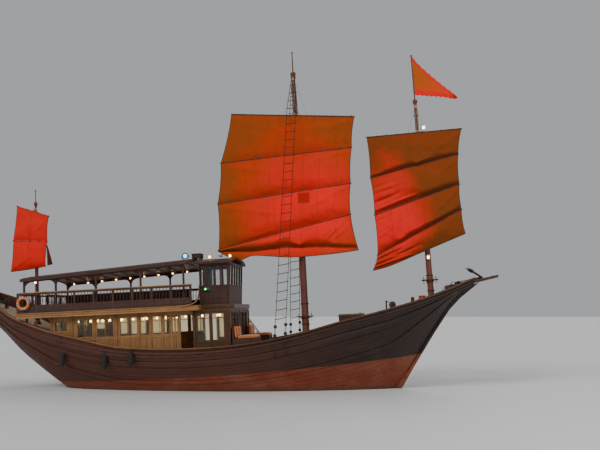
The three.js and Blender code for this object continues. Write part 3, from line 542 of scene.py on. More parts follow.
def canvas(name, edge, middle, centre, reach, seam_every=0.9, stain=0.5, dark_square=None, fold=1.0,
           glow_and_tone_falloff=(0.25, 1.1), shade=(0.05, 0.85)):
    """Sailcloth: redder round its middle, which on the sails is a painted pool of red light, browner at the
    edges, with painted shade where it faces down and a painted highlight where it faces up; sewn and
    weathered.
    """
    f = Finish(name, 1.6, stain, Sheen_Weight=0.03, Sheen_Roughness=0.5, Specular_IOR_Level=0.12)
    away = f.vector("DIVIDE", f.vector("SUBTRACT", f.ship, centre), reach)
    far = f.node("ShaderNodeVectorMath", {"operation": "LENGTH"}, Vector=away).outputs["Value"]
    wander = f.times(f.less(f.noise(f.ship, 0.55, 3.0, 0.5, 0.3), 0.5), 0.7)
    cell = f.math("PINGPONG", f.split(f.cloth)[0], seam_every / 2)
    seam = f.ramp(cell, 0.0, 0.03, 1.0, 0.0)
    stitch = f.ramp(f.size(f.less(cell, 0.022)), 0.0, 0.006, 1.0, 0.0)
    t = f.use(WEAVE, Place=f.cloth, Thread=0.012)
    # On the sails the middle tone round centre is a painted pool of red light, giving way to the edge tone.
    body = f.over(
        f.mix(f.ramp(f.add(far, wander), *glow_and_tone_falloff), middle, edge), (seam, 0.45, tinted(edge, 0.55)),
        (stitch, 0.2, (0.55, 0.22, 0.10)), (f.patches, 0.30, tinted(edge, 1.5, 0.01)),
        (f.streaks, 0.4, tinted(edge, 0.5)), (t["Slub"], 0.18, tinted(edge, 0.5)),
    )
    # Painted shade where the cloth faces down and a painted highlight where it faces up, both read from the
    # overhang attribute; fold scales the painted highlight.
    facing = f.node("ShaderNodeAttribute", {"attribute_name": "overhang"}).outputs["Fac"]
    body = f.mix(f.ramp(facing, *shade, 0.0, 0.80), body, tinted(edge, 0.32))
    body = f.mix(f.ramp(facing, -0.45, -0.04, 0.28 * fold, 0.0), body, tinted(middle, 1.15, 0.002))
    # A dark red square on the cloth, with a paler line just inside its edge.
    if dark_square:
        x, _, z = f.split(f.ship)
        x0, x1, z0, z1 = dark_square
        edges = [f.less(x, x0), f.less(x1, x), f.less(z, z0), f.less(z1, z)]
        inside = f.math("MINIMUM", f.math("MINIMUM", *edges[:2]), f.math("MINIMUM", *edges[2:]))
        body = f.mix(f.ramp(inside, 0.0, 0.01, 0.0, 0.62), body, (0.26, 0.008, 0.006))
        body = f.mix(f.ramp(f.size(f.less(inside, 0.03)), 0.0, 0.008, 0.4, 0.0), body, (0.45, 0.2, 0.1))
    height = f.add(f.times(t["Height"], 0.5), f.add(seam, stitch))
    return f.done(body, (f.dust, 0.0, 1.0, 0.8, 0.97), height, 0.004, 0.6)


def upholstery(name, dark, light):
    """Woven cover cloth, its threads running straight on seats and on upright backs alike."""
    f = Finish(name, 0.4, 0.6, Sheen_Weight=0.35, Sheen_Roughness=0.4)
    x, y, z = f.split(f.ship)
    t = f.use(WEAVE, Place=f.join(f.add(x, z), y), Thread=0.006)
    body = f.over(f.mix(t["Slub"], dark, light), (f.patches, 0.4, tinted(dark, 0.6)))
    return f.done(body, (f.dust, 0.0, 1.0, 0.8, 0.98), t["Height"], 0.002, 0.6)


def hull_finish(name, strakes):
    """Planked topsides, nearly black towards the bow, over the bottom paint, with salt and rubbed places."""
    f = Finish(name, 1.4, 0.8)
    x, _, z = f.split(f.ship)
    place = f.cloth if strakes else along(f, "x")
    t = f.use(TIMBER, Place=place, Board_width=1.0, Board_length=5.2, Seam=0.012)
    grain = t["Grain"]
    brown = f.mix(grain, (0.055, 0.018, 0.011), (0.130, 0.044, 0.024))
    timber = f.over(brown, (t["Board"], 0.35, (0.05, 0.018, 0.014)))
    black = f.mix(grain, (0.014, 0.009, 0.008), (0.038, 0.021, 0.016))
    topsides = f.over(
        f.mix(f.ramp(f.add(x, f.times(f.dust, 1.2)), 0.5, 7.5), timber, black),
        (f.patches, 0.26, (0.15, 0.080, 0.050)), (f.streaks, 0.45, (0.035, 0.015, 0.012)),
    )
    line_height = f.math("MULTIPLY_ADD", f.math("MULTIPLY_ADD", x, 0.0024, 0.0265), x, 0.83)
    ragged = f.add(f.less(z, line_height), f.times(f.less(f.dust, 0.5), 0.02))
    red = f.mix(grain, (0.155, 0.026, 0.011), (0.245, 0.045, 0.017))
    bottom = f.over(red, (f.patches, 0.55, (0.30, 0.16, 0.09)))
    slime = f.ramp(f.add(f.split(f.row)[2], f.times(f.streaks, 0.18)), 0.04, 0.34, 0.60, 0.0)
    bottom = f.mix(slime, bottom, (0.075, 0.045, 0.022))
    painted = f.mix(f.ramp(ragged, -0.012, 0.012), bottom, topsides)
    body = f.over(painted, (t["Seam"], 0.7, (0.015, 0.008, 0.007)))
    shine = (f.add(f.patches, f.times(f.dust, 0.4)), 0.0, 1.2, 0.42, 0.85)
    return f.done(body, shine, t["Height"], 0.004, 0.5)


GOLD = (0.24, 0.105, 0.030), (0.56, 0.29, 0.095)
WALL = (0.20, 0.085, 0.024), (0.50, 0.25, 0.080)
DARK = (0.028, 0.011, 0.008), (0.105, 0.042, 0.026)
PALE = (0.235, 0.155, 0.085), (0.47, 0.345, 0.215)
TRIMMED = ("x", 0.12, 3.2, 0.004, (0.4, 0.66), 0.5)
ACROSS = ("y", *TRIMMED[1:])
UPRIGHT = ("z", 0.10, 6.0, 0.006, (0.4, 0.66), 0.5)
# Painted shade: the house walls forward of x -1.62 and the upper deck's edge forward of x -1.1 are darkened
# where they lie in shade.
WALL_PAINTED_SHADE = (-1.70, -1.62, (0.26, 0.20, 0.19))
EDGE_PAINTED_SHADE = (-1.35, -1.10, (0.26, 0.20, 0.19))
# The cap rail grows darker from x -5 towards the bow.
CAP_DARKER_FORWARD = (-5.0, 1.5, (0.42, 0.36, 0.34))
GOLD_UP = (0.22, 0.095, 0.028), (0.52, 0.265, 0.085)
WALL_UP = (0.18, 0.075, 0.022), (0.46, 0.23, 0.070)
CAP = (0.115, 0.046, 0.018), (0.31, 0.145, 0.055)
HATCH = (0.085, 0.042, 0.024), (0.21, 0.115, 0.062)
ROOFING = (0.050, 0.022, 0.017), (0.120, 0.055, 0.040)
LINING = (0.16, 0.045, 0.026), (0.33, 0.11, 0.055)
RED_SPAR = (0.070, 0.018, 0.012), (0.190, 0.055, 0.034)
RED_POLE = (0.060, 0.018, 0.012), (0.165, 0.055, 0.034)
MAT = {
    "hull": hull_finish("hull_planks", True),
    "stem": hull_finish("stem_timber", False),
    # The ladder's rope is tarred, and its colour is painted darker than the other rope as painted shade.
    "tarred": laid_rope("tarred_ladder_rope_painted_shade", (0.012, 0.008, 0.006), (0.045, 0.027, 0.017)),
    "golden": wood("golden_timber", GOLD, *TRIMMED, 0.25),
    "golden_up": wood("golden_boards_upright", GOLD_UP, *UPRIGHT, 0.2),
    "golden_cross": wood("golden_timber_across", GOLD, *ACROSS, 0.25),
    "house": wood("house_timber", WALL, *TRIMMED, 0.2, WALL_PAINTED_SHADE),
    "house_up": wood("house_boards", WALL_UP, *UPRIGHT, 0.15, WALL_PAINTED_SHADE),
    "house_cross": wood("house_cross_boards", WALL, *ACROSS, 0.2, WALL_PAINTED_SHADE),
    "deck_edge": wood("deck_edge_timber", WALL, *TRIMMED, 0.2, EDGE_PAINTED_SHADE),
    "cap": wood("cap_rail_timber", CAP, "x", 0.3, 3.2, 0.004, forward=CAP_DARKER_FORWARD),
    "dark": wood("dark_timber", DARK, "x", 0.16, 3.5, 0.004),
    "dark_up": wood("dark_timber_upright", DARK, "z", 0.14, 5.0, 0.004),
    "dark_cross": wood("dark_timber_across", DARK, "y", 0.14, 5.0, 0.004),
    "red_up": wood("red_brown_spar", RED_SPAR, "z", 0.9, 7.0, 0.002, (0.4, 0.7)),
    "red_along": wood("red_brown_pole", RED_POLE, "x", 0.9, 6.0, 0.002, (0.4, 0.7)),
    "deck": wood("scrubbed_deck", PALE, "map", 0.152, 5.0, 0.007, (0.65, 0.9), 0.7),
    "deck_boards": wood("deck_boards", PALE, "x", 0.12, 5.0, 0.008, (0.6, 0.88), 0.7),
    "hatch": wood("hatch_boards", HATCH, "x", 0.12, 5.0, 0.008, (0.6, 0.88), 0.7),
    "roof": wood("roof_boards", ROOFING, "x", 0.16, 6.0, 0.007, (0.6, 0.85), 0.7),
    "lining": wood("roof_lining", LINING, "x", 0.14, 6.0, 0.006, (0.45, 0.7), 0.4),
    "red_paint": paint("red_paint", (0.50, 0.035, 0.022)),
    "green_paint": paint("green_paint", (0.012, 0.13, 0.05)),
    "white_paint": paint("white_paint", (0.72, 0.69, 0.62), 0.4, 0.35, (0.35, 0.28, 0.2)),
    "orange_paint": paint("orange_shell", (0.80, 0.19, 0.035), 0.45, 0.3, (0.45, 0.16, 0.07)),
    "black_rubber": paint("fender_rubber", (0.022, 0.021, 0.020), 0.8, 0.5, (0.07, 0.06, 0.05)),
    "iron": metal("black_iron", (0.045, 0.045, 0.048), 0.5, 0.85, (0.14, 0.055, 0.028), 0.6),
    "bronze": metal("dull_bronze", (0.55, 0.36, 0.15), 0.32, 1.0, (0.16, 0.17, 0.10)),
    "brass": metal("brass_fittings", (0.78, 0.55, 0.22), 0.25, 1.0, (0.30, 0.20, 0.08), 0.4),
    "rope": laid_rope("tarred_rope", (0.035, 0.020, 0.012), (0.115, 0.070, 0.040)),
    "line": laid_rope("hemp_line", (0.20, 0.14, 0.08), (0.44, 0.33, 0.20), 0.03),
    "warm": glow("warm_lamp", (1.0, 0.62, 0.25), 9.0),
    "white_light": glow("white_lamp", (1.0, 0.93, 0.82), 7.0),
    "blue_light": glow("blue_white_lamp", (0.10, 0.46, 0.95), 3.4),
    "red_light": glow("red_side_light", (1.0, 0.05, 0.03), 5.0),
    "green_light": glow("green_side_light", (0.04, 0.9, 0.25), 5.0),
    "glass": clear_glass("window_glass", (0.93, 0.95, 0.92)),
    "amber_glass": clear_glass("lit_window_glass", (0.98, 0.86, 0.58)),
    # On the main, fore and mizzen cloths the redder middle is a painted pool of red light; the fore cloth's
    # narrow falloff paints the sharp edge of a mast shadow across it.
    "main_cloth": canvas("main_sailcloth", (0.32, 0.060, 0.007), (0.90, 0.012, 0.010), (3.9, -0.35, 9.2),
                         (4.0, 9.0, 4.6), dark_square=(3.6, 4.25, 9.4, 10.0), glow_and_tone_falloff=(0.35, 1.05), shade=(0.05, 0.6)),
    "fore_cloth": canvas("fore_sailcloth", (0.210, 0.046, 0.007), (0.86, 0.012, 0.012), (8.6, -0.32, 8.3),
                         (2.35, 9.0, 3.8), fold=0.3, glow_and_tone_falloff=(0.44, 0.96), shade=(0.03, 0.5)),
    "mizzen_cloth": canvas("mizzen_sailcloth", (0.62, 0.030, 0.010), (0.86, 0.016, 0.012), (-11.1, -0.3, 8.2),
                           (1.6, 9.0, 2.2)),
    "flag_cloth": canvas("flag_bunting", (0.72, 0.060, 0.010), (0.46, 0.095, 0.010), (10.2, 0.0, 15.8),
                         (1.4, 9.0, 1.8), 3.0, 0.2),
    "flag_edge": canvas("flag_red_edge", (0.78, 0.020, 0.010), (0.82, 0.018, 0.010), (11.0, 0.0, 15.3),
                        (2.0, 9.0, 2.0), 3.0, 0.2),
    "old_cloth": canvas("old_sailcloth", (0.060, 0.016, 0.009), (0.080, 0.022, 0.011), (-10.1, -0.3, 7.5),
                        (1.6, 9.0, 2.2)),
    "cushion": upholstery("orange_upholstery", (0.40, 0.105, 0.024), (0.64, 0.22, 0.055)),
    "piping": upholstery("cushion_piping", (0.28, 0.052, 0.016), (0.42, 0.09, 0.026)),
}
SLOTS = {
    "hull_timber": "hull stem",
    "deck_wood": "deck deck_boards",
    "golden_wood": "golden golden_up golden_cross house house_cross deck_edge cap",
    "dark_wood": "dark dark_up dark_cross hatch",
    "mast_wood": "red_up red_along",
    "roof_covering": "roof lining",
    "iron": "iron white_paint red_paint green_paint black_rubber blue_light",
    "bronze": "brass",
    "rope": "rope line tarred",
    "sail_cloth": "main_cloth fore_cloth mizzen_cloth old_cloth",
    "flag_cloth": "flag_cloth",
    "cushion_fabric": "cushion piping",
}
SLOT_OF = {finish: slot for slot, finishes in SLOTS.items() for finish in finishes.split()}

# Hull lines: x, keel, deck at side, half beam, fullness power, top of the bulwark
STATIONS = (
    (-14.0, 5.0, 5.18, 1.76, 0.16, 5.72), (-13.0, 4.2, 4.74, 2.1, 0.16, 5.33),
    (-12.0, 3.35, 4.26, 2.43, 0.17, 4.85), (-11.0, 2.3, 3.66, 2.74, 0.19, 4.21),
    (-10.0, 1.38, 3.23, 3.0, 0.23, 3.8), (-9.2, 0.64, 2.92, 3.18, 0.30, 3.5),
    (-8.4, -0.06, 2.68, 3.31, 0.38, 3.26), (-7.2, -0.72, 2.36, 3.45, 0.44, 2.95),
    (-5.2, -1.28, 2.0, 3.61, 0.45, 2.48), (-2.0, -1.5, 1.83, 3.74, 0.42, 2.26),
    (1.0, -1.55, 1.96, 3.68, 0.42, 2.34), (3.5, -1.5, 2.36, 3.38, 0.48, 2.7),
    (5.6, -1.35, 2.85, 2.98, 0.58, 3.19), (7.2, -0.9, 3.18, 2.58, 0.70, 3.51),
    (8.2, -0.35, 3.4, 2.29, 0.78, 3.74), (9.2, 0.98, 3.64, 1.97, 0.82, 3.98),
    (10.2, 2.4, 3.93, 1.62, 0.82, 4.26), (11.2, 3.74, 4.26, 1.26, 0.78, 4.59),
    (11.8, 4.32, 4.49, 1.05, 0.72, 4.82), (12.4, 4.68, 4.74, 0.86, 0.72, 5.04),
)
HULL_X = spaced(-14.0, 12.4, 151)
WELL = dict(aft=-8.92, fore=0.1, half=2.8, floor=1.7)
CAP_UNDER = 0.066
DECK_TOP = 0.007


def fair(x, column):
    """A fair curve through one column of the stations."""
    last = len(STATIONS) - 1
    i = 0
    while i < last - 1 and x > STATIONS[i + 1][0]:
        i += 1

    def slope(k):
        a, b = STATIONS[max(k - 1, 0)], STATIONS[min(k + 1, last)]
        return (b[column] - a[column]) / (b[0] - a[0])

    p, q = STATIONS[i], STATIONS[i + 1]
    span = q[0] - p[0]
    t = (x - p[0]) / span
    rest = 1 - t
    hold = p[column] * rest * rest * (1 + 2 * t) + q[column] * t * t * (1 + 2 * rest)
    return hold + span * t * rest * (slope(i) * rest - slope(i + 1) * t)


def keel_at(x):
    return fair(x, 1)


def deck_at(x):
    return fair(x, 2)


def beam_at(x):
    return fair(x, 3)


def rail_at(x):
    return fair(x, 5)


def side_at(x, z):
    """Half beam of the planking at a height."""
    keel, deck = keel_at(x), deck_at(x)
    share = min(1.0, max(0.0, (z - keel) / (deck - keel)))
    return beam_at(x) * share ** fair(x, 4)


def section_table():
    """Height share, how far it stands out, and the strake it belongs to, from the keel to the deck edge."""
    garboard = ((0.0, 0.0), (0.0015, 0.1), (0.005, 0.2), (0.012, 0.4), (0.024, 0.6), (0.038, 0.8))
    rows = [(share, 0.0, strake) for share, strake in garboard]
    groove, rim, edge = 0.007, 0.0022, 0.0004

    def strakes(low, high, count, first):
        for i in range(count):
            a, b = low + (high - low) * i / count, low + (high - low) * (i + 1) / count
            rows.append((a + edge, -groove, first + i))
            for share in (rim, (b - a) * 0.3, (b - a) * 0.62, b - a - rim):
                rows.append((a + share, 0.0, first + i + share / (b - a)))
            rows.append((b - edge, -groove, first + i + 1))

    def wale(low, high, out, first):
        for share, stand in ((0, 0), (0.02, 0.75), (0.08, 1), (0.5, 1), (0.92, 1), (0.98, 0.75), (1, 0)):
            rows.append((low + (high - low) * share, out * stand, first + share))

    strakes(0.05, 0.58, 10, 1)
    wale(0.581, 0.64, 0.055, 11)
    strakes(0.641, 0.84, 4, 12)
    wale(0.841, 0.93, 0.06, 16)
    strakes(0.931, 0.999, 1, 17)
    return rows + [(1.0, 0.0, 18.0)]


def build_hull():
    """Strakes and wales round a shell with a well in its deck, where the cabin stands."""
    rows, rings = section_table(), []
    aft, fore, floor = WELL["aft"], WELL["fore"], WELL["floor"]
    for x in sorted(HULL_X + [aft, fore]):
        depths = {aft: [None, floor], fore: [floor, None]}.get(x, [floor] if aft < x < fore else [None])
        keel, deck, half, power = keel_at(x), deck_at(x), beam_at(x), fair(x, 4)
        side = [(half * s ** power + out * min(1.0, s * 40), keel + (deck - keel) * s) for s, out, _ in rows]
        inner = min(WELL["half"], half - 0.1)
        for depth in depths:
            low = deck if depth is None else depth
            across = [(x, inner, deck), (x, inner, low), (x, -inner, low), (x, -inner, deck)]
            rings.append([(x, y, z) for y, z in side] + across + [(x, -y, z) for y, z in side[:0:-1]])
    strake = [v for _, _, v in rows]
    girth = strake + [18.5, 19.0, 19.5, 20.0] + strake[:0:-1]
    n = len(rings[0])
    uvs = []
    for near, far in zip(rings, rings[1:]):
        x0, x1 = near[0][0], far[0][0]
        for k in range(n):
            m = (k + 1) % n
            uvs.append([(x0, girth[k]), (x0, girth[m]), (x1, girth[m]), (x1, girth[k])])
    last = (len(rings) - 1) * n
    faces = stitched(len(rings), n) + [tuple(range(n - 1, -1, -1)), tuple(range(last, last + n))]
    shape = Shape().add([p for ring in rings for p in ring], faces, uvs + [[(0.0, 0.0)] * n] * 2)
    hull = piece("hull_planking", shape, "hull", smooth=38, weld=0.0001)
    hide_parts("hull")


def laid_deck():
    """Deck planks that follow the sheer, their ends under the waterway boards, clear of the deckhouse."""
    shape = Shape()
    width, gap, step, ease = 0.152, 0.006, 0.1, 0.003
    for j in range(-24, 25):
        y0, y1 = (j - 0.5) * width + gap / 2, (j + 0.5) * width - gap / 2
        outer, inner = max(abs(y0), abs(y1)), min(abs(y0), abs(y1))
        runs = [[]]
        for x in spaced(-13.96, 12.3, int(26.26 / step) + 1):
            if beam_at(x) - 0.12 > outer and not (inner < 2.87 and -9.0 < x < 0.18):
                runs[-1].append(x)
            elif runs[-1]:
                runs.append([])
        half = (y1 - y0) / 2
        section = [(-half, -0.02), (half, -0.02), (half, DECK_TOP - ease), (half - 0.004, DECK_TOP)]
        section += [(-half + 0.004, DECK_TOP), (-half, DECK_TOP - ease)]
        for xs in (r for r in runs if len(r) > 1):
            shape.plank([(x, (y0 + y1) / 2, deck_at(x)) for x in xs[:-2:4] + xs[-1:]], section, 0.37 * j)
    piece("deck_planks", shape, "deck", smooth=30)


CAP_SECTION = mm("-155 -60, -155 -14, -149 -4, -138 0, 28 0, 39 -4, 45 -14, 45 -56, 39 -66, 28 -70, -145 -70")
WATERWAY_SECTION = mm("-115 -20, 108 -20, 108 22, 98 30, -105 16, -115 10")
SEAM_SECTION = mm("-68 -40, -12 -40, -12 40, -68 40")


def beside(side, out, height, xs=HULL_X):
    """A path along the hull: out from the half beam, at a height that depends on x."""
    return [(x, side * (beam_at(x) + out), height(x)) for x in xs]


def build_bulwark(name, side):
    """Two strakes and a seam board between, frames inside, a cap rail, a waterway board and two beads."""
    thick, flare = 0.078, 0.045
    shape = Shape()
    for low_share, high_share in ((0.0, 0.485), (0.515, 1.0)):
        points = []
        for x in HULL_X:
            low, deck, top = beam_at(x), deck_at(x), rail_at(x) - CAP_UNDER
            a, b = [(low + flare * share, deck + (top - deck) * share) for share in (low_share, high_share)]
            points += [(x, side * a[0], a[1]), (x, side * b[0], b[1])]
            points += [(x, side * (b[0] - thick), b[1]), (x, side * (a[0] - thick), a[1])]
        count = len(HULL_X)
        faces = [face[::side] for face in stitched(count, 4)]
        uvs = [[(points[q][0], 21.0 + low_share + 0.4 * (q % 2)) for q in face] for face in faces]
        ends = [tuple(range(4)), tuple(range(count * 4 - 1, count * 4 - 5, -1))]
        faces += [e[::-side] for e in ends]
        shape.add(points, faces, uvs + [[(0.0, 21.2)] * 4] * 2)
    seam = beside(side, flare / 2, lambda x: (deck_at(x) + rail_at(x) - CAP_UNDER) / 2, HULL_X[::2])
    shape.sweep(seam, SEAM_SECTION, across=-side)
    wall = piece(f"bulwark_planking_{name}", shape, "hull", smooth=30)
    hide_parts(f"bulwark_{name}")
    frames = Shape()
    x = -13.6
    while x < 12.0:
        low, foot, top = beam_at(x), deck_at(x), rail_at(x) - 0.07
        high = low + flare
        outline = ((low - 0.075, foot), (high - 0.075, top), (high - 0.150, top), (low - 0.185, foot))
        frames.prism([(side * y, z) for y, z in outline], in_cross, x - 0.035, x + 0.035)
        x += 0.62
    piece(f"bulwark_frames_{name}", frames, "dark_up", bevel=0.006)
    cap = Shape().sweep(beside(side, flare, rail_at), CAP_SECTION, across=-side)
    piece(f"cap_rail_{name}", cap, "cap", smooth=40)
    waterway = beside(side, -0.19, deck_at, [x for x in HULL_X if x < 12.1])
    inner_board = Shape().sweep(waterway, WATERWAY_SECTION, across=-side)
    piece(f"waterway_board_{name}", inner_board, "dark", smooth=30)
    piece(f"sheer_bead_{name}", Shape().tube(beside(side, 0.052, lambda x: rail_at(x) - 0.10), 0.020), "cap")
    piece(f"foot_bead_{name}", Shape().tube(beside(side, 0.012, lambda x: deck_at(x) - 0.005), 0.026), "dark")


build_hull()
laid_deck()
for side_name, side_sign in SIDES:
    build_bulwark(side_name, side_sign)


# Repeats along paths: a unit set on points a given distance apart, turned with the path
def repeat_tree():
    tree = bpy.data.node_groups.new("repeat_along_path", "GeometryNodeTree")
    kinds = {"Geometry": "Geometry", "Unit": "Object", "Spacing": "Float", "Finish": "Material"}
    for label, kind in kinds.items():
        tree.interface.new_socket(label, in_out="INPUT", socket_type=f"NodeSocket{kind}")
    tree.interface.new_socket("Geometry", in_out="OUTPUT", socket_type="NodeSocketGeometry")
    w = Wiring(tree)
    given = w.node("NodeGroupInput").outputs
    curve = w.node("GeometryNodeMeshToCurve", Mesh=given["Geometry"]).outputs[0]
    by_length = {"mode": "LENGTH"}
    evenly = w.node("GeometryNodeResampleCurve", by_length, Curve=curve, Length=given["Spacing"]).outputs[0]
    store = w.node("GeometryNodeCaptureAttribute", Geometry=evenly)
    store.capture_items.new("VECTOR", "way")
    w.put(store.inputs[1], w.node("GeometryNodeInputTangent").outputs[0])
    points = w.node("GeometryNodeCurveToPoints", {"mode": "EVALUATED"}, Curve=store.outputs[0]).outputs[0]
    turn = {"axis": "X", "pivot_axis": "Z"}
    aim = w.node("FunctionNodeAlignEulerToVector", turn, Vector=store.outputs[1]).outputs[0]
    unit = w.node("GeometryNodeObjectInfo", {"transform_space": "ORIGINAL"}, Object=given["Unit"])
    set_out = dict(Points=points, Instance=unit.outputs["Geometry"], Rotation=aim)
    put = w.node("GeometryNodeInstanceOnPoints", **set_out).outputs[0]
    real = w.node("GeometryNodeRealizeInstances", Geometry=put).outputs[0]
    coat = w.node("GeometryNodeSetMaterial", Geometry=real, Material=given["Finish"]).outputs[0]
    w.put(w.node("NodeGroupOutput").inputs[0], coat)
    return tree


REPEAT = repeat_tree()


def repeat(name, paths, unit, spacing, finish, body="ship"):
    """Sets a small unit, drawn about the origin with the path running along X, along each path."""
    small = placed(name + "_unit", mesh_of(name + "_unit", unit.points, unit.faces))
    points, edges = [], []
    for path in paths:
        edges += [(len(points) + i, len(points) + i + 1) for i in range(len(path) - 1)]
        points += [TO_ROW @ Vector(p) for p in path]
    obj = placed(name, mesh_of(name, points, (), edges))
    step = obj.modifiers.new("rule", "NODES")
    step.node_group = REPEAT
    values = {"Unit": small, "Spacing": spacing, "Finish": MAT[finish]}
    for item in REPEAT.interface.items_tree:
        if item.in_out == "INPUT" and item.name in values:
            step[item.identifier] = values[item.name]
    bpy.context.view_layer.update()
    made = bpy.data.meshes.new_from_object(final_form(obj))
    obj.modifiers.remove(step)
    obj.data = made
    bpy.data.objects.remove(small)
    shade_smooth(made, 40.0)
    return ride_as(obj, body)


# CAD nodes that stay, with their finishes and eased edges; a star stands for the starboard and the port one
DRESSED = (
    ("keel rudder", "stem", 0.012), ("screw_*", "bronze", 0.0), ("shaft_bracket_*", "iron", 0.0),
    ("stern_board", "dark_cross", 0.012), ("house_side_* house_front house_aft", "house_up", 0.006),
    ("door_*", "dark_up", 0.005), ("cabin_bench_*", "golden", 0.008),
    ("cabin_table side_stair", "golden", 0.006),
    ("upper_deck", "deck_edge", 0.010), ("upper_rail_* aft_gate canopy_frame_*", "dark_up", 0.006),
    ("wheelhouse_side_* wheelhouse_front wheelhouse_aft", "dark_up", 0.006),
    ("upper_bench lounge_*", "dark", 0.010),
    ("wheel_stand", "golden_up", 0.010), ("bow_beam", "dark", 0.016), ("windlass_frame", "dark_up", 0.010),
    ("windlass_barrel", "golden_cross", 0.008), ("hatch_coaming", "dark", 0.008),
    ("hatch_lid", "hatch", 0.008), ("fore_bitts aft_bitts", "dark_up", 0.012),
)


def dress(node, finish, bevel):
    obj = NODES[node]
    obj.data.materials.clear()
    obj.data.materials.append(MAT[finish])
    if bevel:
        obj.modifiers.new("weld", "WELD").merge_threshold = 0.0002
        add_bevel(obj, bevel, 40.0)


for nodes, node_finish, node_bevel in DRESSED:
    for stem in nodes.split():
        for node_name in [stem.replace("*", label) for label, _ in SIDES] if "*" in stem else [stem]:
            dress(node_name, node_finish, node_bevel)

HOUSE = dict(inner=2.8, outer=2.88)
SIDE_LIGHTS = (
    (-8.78, -8.14, 3.34, 3.84), (-7.6, -6.82, 3.0, 3.88), (-6.6, -5.74, 2.96, 3.88),
    (-5.4, -4.52, 2.96, 3.88), (-4.34, -3.9, 2.96, 3.88), (-3.73, -3.3, 2.96, 3.88),
    (-3.13, -2.82, 2.96, 3.88), (-2.73, -2.43, 2.96, 3.88), (-1.5, -0.85, 2.56, 3.88),
    (-0.7, -0.12, 2.56, 3.88),
)
DOORWAY = (-2.31, -1.66, 1.96, 3.87)
BAYS = (-8.95, -7.87, -6.71, -5.57, -4.43, -3.815, -3.215)


def window(shape, glass, place, opening, low, high, bars=(), crossbars=(), wide=0.045, proud=0.016):
    """A casing round an opening, glazing bars and a pane. low and high are the depths of the wall's faces."""
    a0, a1, z0, z1 = opening
    lap, half, slack, middle = 0.008, 0.014, 0.004, (low + high) / 2
    out, into = (high + proud, low - proud) if high > low else (high - proud, low + proud)
    casing = (
        (a0 - wide, a1 + wide, z0 - wide * 1.3, z0 + lap), (a0 - wide, a1 + wide, z1 - lap, z1 + wide),
        (a0 - wide, a0 + lap, z0 + lap, z1 - lap), (a1 - lap, a1 + wide, z0 + lap, z1 - lap),
    )
    glazing = [(a - half, a + half, z0 + lap, z1 - lap) for a in bars]
    glazing += [(a0 + lap, a1 - lap, z - half, z + half) for z in crossbars]
    pane = [(a0 + slack, a1 - slack, z0 + slack, z1 - slack)]
    for target, sticks, near, far in (
        (shape, casing, into, out), (shape, glazing, middle - 0.018, middle + 0.018),
        (glass, pane, middle - 0.003, middle + 0.003),
    ):
        for p0, p1, q0, q1 in sticks:
            target.prism([(p0, q0), (p1, q0), (p1, q1), (p0, q1)], place, near, far)


def on_side(side):
    return lambda a, z, depth: (a, side * depth, z)


def facing_ahead(a, z, depth):
    return (depth, a, z)


def house_side(name, side):
    casing, glass = Shape(), Shape()
    for opening in SIDE_LIGHTS:
        x0, x1, z0, z1 = opening
        bars = ((x0 + x1) / 2,) if x1 - x0 > 0.7 else ()
        crossbars = (z1 - 0.24,) if z1 - z0 > 0.7 else ()
        window(casing, glass, on_side(side), opening, HOUSE["inner"], HOUSE["outer"], bars, crossbars)
    x0, x1, z0, z1 = DOORWAY
    face = side * 2.879
    rails = [
        (x0 - 0.06, x0, 2.912, z0 - 0.02, z1 + 0.06), (x1, x1 + 0.06, 2.912, z0 - 0.02, z1 + 0.06),
        (x0, x1, 2.912, z1, z1 + 0.06), (x0 - 0.10, x1 + 0.10, 2.96, z0 - 0.05, z0),
        (-8.99, -2.40, 2.905, 2.83, 2.885), (-1.55, 0.17, 2.905, 2.43, 2.485),
        (-8.99, 0.17, 2.915, 3.975, 4.079),
    ]
    posts = (-8.97, *BAYS[1:], -2.58, -1.60, -0.775, 0.15)
    rails += [(x - 0.03, x + 0.03, 2.921, deck_at(x) + 0.01, 3.975) for x in posts]
    for a, b, out, low, high in rails:
        casing.block(a, b, face, side * out, low, high)
    foot = [(x, side * 2.885, deck_at(x) + 0.02) for x in spaced(-8.98, 0.16, 24)]
    casing.sweep(foot, mm("-12 -30, 30 -30, 30 30, 5 70, -12 70"), across=-side)
    piece(f"house_joinery_{name}", casing, "house", bevel=0.004)
    piece(f"house_glass_{name}", glass, "amber_glass", smooth=0)


def house_ends():
    casing, glass = Shape(), Shape()
    for y0 in (-2.1, -1.18, 0.36, 1.28):
        window(casing, glass, facing_ahead, (y0, y0 + 0.74, 2.56, 3.88), 0.1, 0.18, (y0 + 0.37,), (3.62,))
    for y0 in (-2.3, -0.9, 0.5, 1.6):
        window(casing, glass, facing_ahead, (y0, y0 + 0.7, 3.3, 3.84), -8.92, -9.0, (y0 + 0.35,))
    for y in (-2.86, -2.2, -1.27, 0.0, 1.20, 2.12, 2.86):
        casing.block(0.179, 0.215, y - 0.035, y + 0.035, 1.96, 4.078)
    for x0, x1, z0, z1 in (
        (0.179, 0.210, 2.43, 2.49), (0.179, 0.215, 3.98, 4.078), (-9.035, -8.999, 3.99, 4.078),
        (-9.030, -8.999, 3.17, 3.22),
    ):
        casing.block(x0, x1, -2.86, 2.86, z0, z1)
    piece("house_end_joinery", casing, "house_cross", bevel=0.004)
    piece("house_end_glass", glass, "amber_glass", smooth=0)


